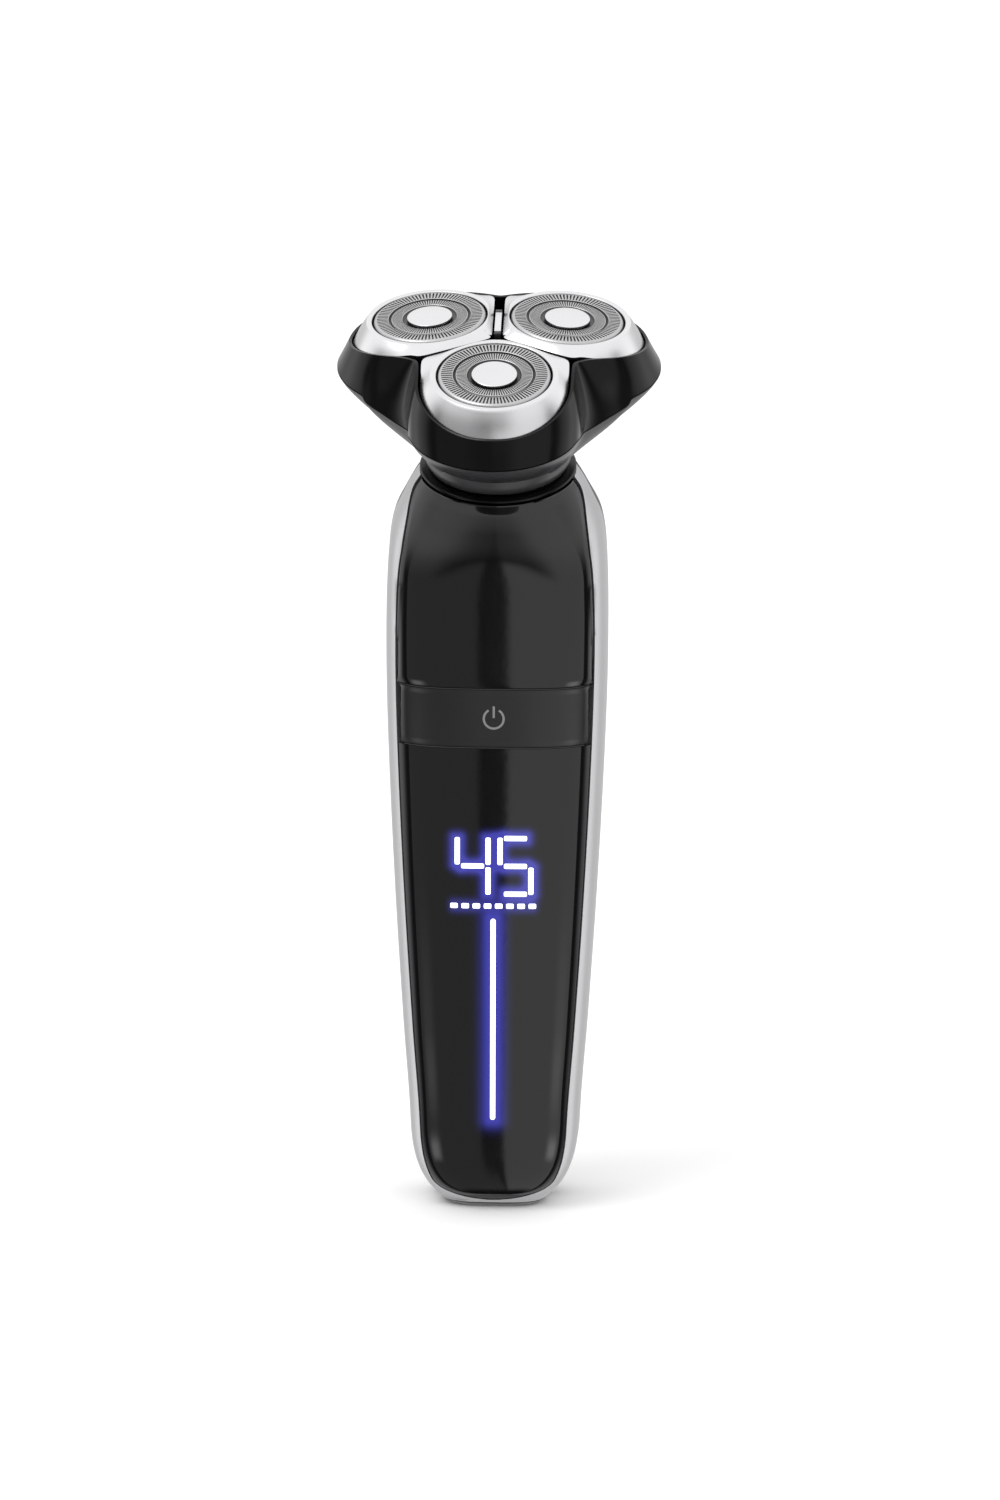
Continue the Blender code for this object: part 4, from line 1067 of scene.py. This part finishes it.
# %% [markdown]
# ## The bridge between the rear plates
# A silver bar fills the gap between the two rear plates, with a black end cap at each end. It
# stands on a post in the middle of the holder.

# %% Bar, end caps and post
BRIDGE_HALF_WIDTH, BRIDGE_BOTTOM, BRIDGE_TOP = 0.62 * MM, 24.2 * MM, 27.5 * MM
BRIDGE_START, BRIDGE_END, END_CAP = 0.7 * MM, 10.4 * MM, 1.1 * MM
BAR_EDGE, END_EDGE = 0.12 * MM, 0.1 * MM
POST_RADIUS, POST_BOTTOM, POST_TOP = 1.5 * MM, 15.1 * MM, 24.7 * MM


def block(bm, low, high, edge):
    made = bmesh.ops.create_cube(bm, size=1.0)["verts"]
    low, high = Vector(low), Vector(high)
    bmesh.ops.scale(bm, verts=made, vec=high - low)
    bmesh.ops.translate(bm, verts=made, vec=(low + high) / 2)
    edges = {item for vert in made for item in vert.link_edges}
    bmesh.ops.bevel(bm, geom=list(edges), offset=edge, segments=2, profile=0.5,
                    affect="EDGES", material=-1)


bm = bmesh.new()
block(bm, (-BRIDGE_HALF_WIDTH, BRIDGE_START + END_CAP, BRIDGE_BOTTOM),
      (BRIDGE_HALF_WIDTH, BRIDGE_END - END_CAP, BRIDGE_TOP), BAR_EDGE)
post = bmesh.ops.create_cone(bm, cap_ends=True, segments=32, radius1=POST_RADIUS,
                             radius2=POST_RADIUS, depth=POST_TOP - POST_BOTTOM)["verts"]
bmesh.ops.translate(bm, verts=post, vec=(0, 0, (POST_BOTTOM + POST_TOP) / 2))
make_piece("bridge_bar", bm, "bright_silver", "holder", "centre_bridge", HEAD)
bm = bmesh.new()
for start in (BRIDGE_START, BRIDGE_END - END_CAP):
    block(bm, (-BRIDGE_HALF_WIDTH, start, BRIDGE_BOTTOM),
          (BRIDGE_HALF_WIDTH, start + END_CAP, BRIDGE_TOP), END_EDGE)
make_piece("bridge_ends", bm, "satin_black", "holder", None, HEAD)

# %% [markdown]
# ## Shaving caps
# A cap is a thin steel cup with two raised tracks, each cut by about ninety narrow slots for
# the hair. Making one slotted sector and spinning copies of it round the axis keeps the model
# small and exact. The floors of the slots and the grooves beside the tracks are painted black as
# painted shade, for the dark inside of the cap and the shade in the grooves.

# %% One sector, spun to a full cap
SLOTS, SLOT_SHARE, SLOT_DEPTH = 90, 0.5, 0.3 * MM
TRACKS, TRACK_LEVEL = ((5.3, 7.2), (8.0, 10.1)), 6 * MM
# the faces of these grooves above their level are painted black as painted shade
SHADE_PAINTED_GROOVES, GROOVE_LEVEL = ((4.0, 5.15), (7.4, 7.85)), 5.5 * MM
# radius and height in millimetres, over the top from the middle, down the wall and back inside
CAP_SKIN = ((4.0, 5.85), (4.9, 5.85), (5.05, 5.95), (5.2, 6.22), (5.3, 6.3), (7.2, 6.3), (7.32, 6.25),
            (7.42, 5.95), (7.5, 5.9), (7.72, 5.9), (7.8, 5.98), (7.88, 6.28), (8.0, 6.35), (10.1, 6.35),
            (10.35, 6.3), (10.6, 6.1), (10.75, 5.8), (10.75, 1.0), (10.2, 1.0), (10.2, 5.4), (4.0, 5.4),
            (4.0, 5.85))


def within(radius, bands):
    return any(low < radius / MM < high for low, high in bands)


def slotted_cap():
    bm = bmesh.new()
    sector = 2 * math.pi / SLOTS
    cuts = (0, (1 - SLOT_SHARE) / 2, (1 + SLOT_SHARE) / 2, 1)
    columns = len(CAP_SKIN) - 1
    bmesh.ops.create_grid(bm, x_segments=columns, y_segments=3, size=1.0)
    for vert in bm.verts:
        radius, height = CAP_SKIN[round((vert.co.x + 1) / 2 * columns)]
        turn = sector * cuts[round((vert.co.y + 1) / 2 * 3)]
        vert.co = polar(radius * MM, turn, height * MM)
    slots = []
    for face in bm.faces:
        middle = face.calc_center_median()
        in_slot = abs(math.atan2(middle.y, middle.x) / sector - 0.5) < 0.1
        if in_slot and within(middle.xy.length, TRACKS) and middle.z > TRACK_LEVEL:
            slots.append(face)
        # groove faces take the second slot, painted black: painted shade in the narrow grooves
        if within(middle.xy.length, SHADE_PAINTED_GROOVES) and middle.z > GROOVE_LEVEL:
            face.material_index = 1
    # the slots get blind floors in the second slot, painted black as painted shade for the dark inside
    # of the cap
    shade_painted_floors = bmesh.ops.extrude_discrete_faces(bm, faces=slots)["faces"]
    for face in shade_painted_floors:
        face.material_index = 1
    bmesh.ops.translate(bm, verts=[vert for face in shade_painted_floors for vert in face.verts],
                        vec=(0, 0, -SLOT_DEPTH))
    bmesh.ops.spin(bm, geom=bm.verts[:] + bm.edges[:] + bm.faces[:], steps=SLOTS - 1,
                   angle=2 * math.pi - sector, use_duplicate=True, **ROUND_Z)
    merge_points(bm)
    add_turned_uv(bm)
    return bm


# %% Caps, centre discs and pod rings
DISC = [(0, 6.15), (4.3, 6.15), (4.3, 6.42), (4.22, 6.48), (4.1, 6.5), (0, 6.5)]
POD_RING = [(11.1, 3.3), (11.75, 3.3), (11.75, -3.4), (9.9, -3.4), (9.9, -2.4), (11.1, -2.4),
            (11.1, 3.3)]
for side, place in PODS.items():
    cap = make_piece(f"slotted_cap_{side}", slotted_cap(), "cap_steel", f"cap_body_{side}",
                     f"shaving_cap_{side}", place)
    # the second slot, satin black, carries the painted shade of the slot floors and the grooves
    cap.data.materials.append(FINISHES["satin_black"].owner)
    make_piece(f"centre_disc_{side}", turned(DISC), "bright_silver", f"cap_body_{side}",
               f"cap_disc_{side}", place)
    make_piece(f"pod_sleeve_{side}", turned(POD_RING), "satin_black", f"pod_{side}",
               f"pod_ring_{side}", place)

# %% [markdown]
# ## Solids that keep their own mesh
# The parts inside the handle and under the holder are plain shapes and are hidden most of the
# time. They keep their meshes and only take the finish of their material slot.

# %% Finishes for the other solids
for name, solid in NODES.items():
    slot_name = solid.data.materials[0].name.split(".")[0]
    solid.data.materials.clear()
    solid.data.materials.append(FINISHES[slot_name].owner)
print("dressed", len(NODES), "solids")

# %% [markdown]
# ## Studio
# Gloss black shows its surroundings, so the light is drawn as a sky that only lights and
# reflects. In front stand a dim panel on the left and a brighter one on the right, with a
# narrow dark gap between them; a soft shade dims their middle above the horizon. Boxes at the
# sides, a dim back and a bright ceiling light the metal, and two low boxes light the black
# edges near the floor. What the camera sees behind the object is plain white.

# %% The sky
world = bpy.data.worlds.new("studio")
bpy.context.scene.world = world
sky = Recipe(world)
direction = sky.node("ShaderNodeTexCoord", output="Generated")
parts = sky.node("ShaderNodeSeparateXYZ", inputs=[direction])
east, north, up = (Wire(sky, parts.socket.node.outputs[axis]) for axis in "XYZ")
azimuth = sky.node("ShaderNodeMath", {"operation": "ARCTAN2"}, [east, north * -1.0])
elevation = up.math("ARCSINE")


def ramp(value, low, high):
    """From 0 to 1 as an angle in degrees passes from low to high."""
    return sky.node("ShaderNodeMapRange", {"interpolation_type": "SMOOTHSTEP"}, {
        "Value": value, "From Min": math.radians(low), "From Max": math.radians(high)})


def soft_band(value, low, high, edge):
    return ramp(value, low - edge, low + edge) * ramp(value, high + edge, high - edge)


# azimuth where a part begins and ends, softness of its ends, all in degrees, and strength
SKY_PARTS = {
    "left panel": (-75, -3.0, 0.4, 0.36),
    "right panel": (-1.3, 75, 0.4, 0.95),
    "shade": (-26, 22, 12, 0.8),
    "low left box": (-66, -44, 8, 1.8),
    "low right box": (44, 66, 8, 1.8),
    "left side box": (-128, -92, 10, 1.15),
    "right side box": (92, 128, 10, 1.15),
    "front and sides": (-120, 120, 20, 1.0),
}
# elevations over which the parts fade, in degrees
SHADE_FADE, FLOOR_FADE, CEILING_FADE = (-2, 6), (-84, -72), (2, 40)
LOW_BOX_SPAN, LOW_BOX_EDGE = (-36, -22), 5
BACK_STRENGTH, CEILING_STRENGTH, LEAST_LIGHT = 0.7, 1.2, 0.03


def sky_part(name):
    low, high, edge, strength = SKY_PARTS[name]
    return soft_band(azimuth, low, high, edge) * strength


low_boxes = sky_part("low left box") + sky_part("low right box")
low_boxes = low_boxes * soft_band(elevation, *LOW_BOX_SPAN, LOW_BOX_EDGE)
side_boxes = sky_part("left side box") + sky_part("right side box")
back = (1 - sky_part("front and sides")) * BACK_STRENGTH
ceiling = ramp(elevation, *CEILING_FADE)
front = sky_part("left panel") + sky_part("right panel")
front = front * (1 - sky_part("shade") * ramp(elevation, *SHADE_FADE)) * ramp(elevation, *FLOOR_FADE)
radiance = (front + side_boxes + back) * (1 - ceiling) + low_boxes
radiance = radiance + ceiling * CEILING_STRENGTH + LEAST_LIGHT
seen = sky.node("ShaderNodeLightPath", output="Is Camera Ray")
background = sky.tree.nodes["Background"]
sky.feed(background.inputs["Strength"], radiance * (1 - seen) + seen)
sky.feed(background.inputs["Color"], (1.0, 1.0, 1.0))
print("sky has", len(sky.tree.nodes), "nodes")

# %% Floor, key light and camera
FLOOR_HALF_SIZE = 20.0
bm = bmesh.new()
bmesh.ops.create_grid(bm, x_segments=1, y_segments=1, size=FLOOR_HALF_SIZE)
mesh = bpy.data.meshes.new("floor")
bm.to_mesh(mesh)
bm.free()
paper = finish("white paper", Roughness=0.9, Specular_IOR_Level=0.1)
dress(paper, Base_Color=blend(paper, grain(paper, 0.02), (0.93, 0.93, 0.93), (0.95, 0.95, 0.95)))
mesh.materials.append(paper.owner)
floor = add_object("floor", mesh)
floor.visible_glossy = False


def soft_light(name, watts, size, place, target):
    data = bpy.data.lights.new(name, "AREA")
    data.energy, data.size, data.shape = watts, size, "DISK"
    light = add_object(name, data)
    light.location = place
    light.rotation_euler = (Vector(place) - Vector(target)).to_track_quat("Z", "Y").to_euler()
    light.visible_camera = False
    return light


TARGET = Vector((0.0006, 0, 0.0882))
KEY_WATTS, KEY_SIZE, KEY_PLACE = 7.0, 0.9, (-0.7, -0.6, 1.4)
soft_light("key_light", KEY_WATTS, KEY_SIZE, KEY_PLACE, TARGET)
CAMERA_AZIMUTH, CAMERA_ELEVATION, CAMERA_DISTANCE = math.radians(2.0), math.radians(12.4), 3.0
CAMERA_ROLL = math.radians(0.25)
camera_data = bpy.data.cameras.new("camera")
SENSOR_HEIGHT, FOCAL_LENGTH = 36.0, 375.0
camera_data.sensor_fit, camera_data.sensor_height = "VERTICAL", SENSOR_HEIGHT
camera_data.lens = FOCAL_LENGTH
camera = add_object("camera", camera_data)
sight = Vector((math.sin(CAMERA_AZIMUTH) * math.cos(CAMERA_ELEVATION),
                -math.cos(CAMERA_AZIMUTH) * math.cos(CAMERA_ELEVATION), math.sin(CAMERA_ELEVATION)))
camera.location = TARGET + sight * CAMERA_DISTANCE
camera.rotation_euler = (sight.to_track_quat("Z", "Y").to_matrix()
                         @ Matrix.Rotation(CAMERA_ROLL, 3, "Z")).to_euler()
bpy.context.scene.camera = camera
bpy.context.scene.view_settings.view_transform = "Standard"
print("the camera stands at", [round(value, 3) for value in camera.location])

# %% The end
bpy.context.view_layer.update()
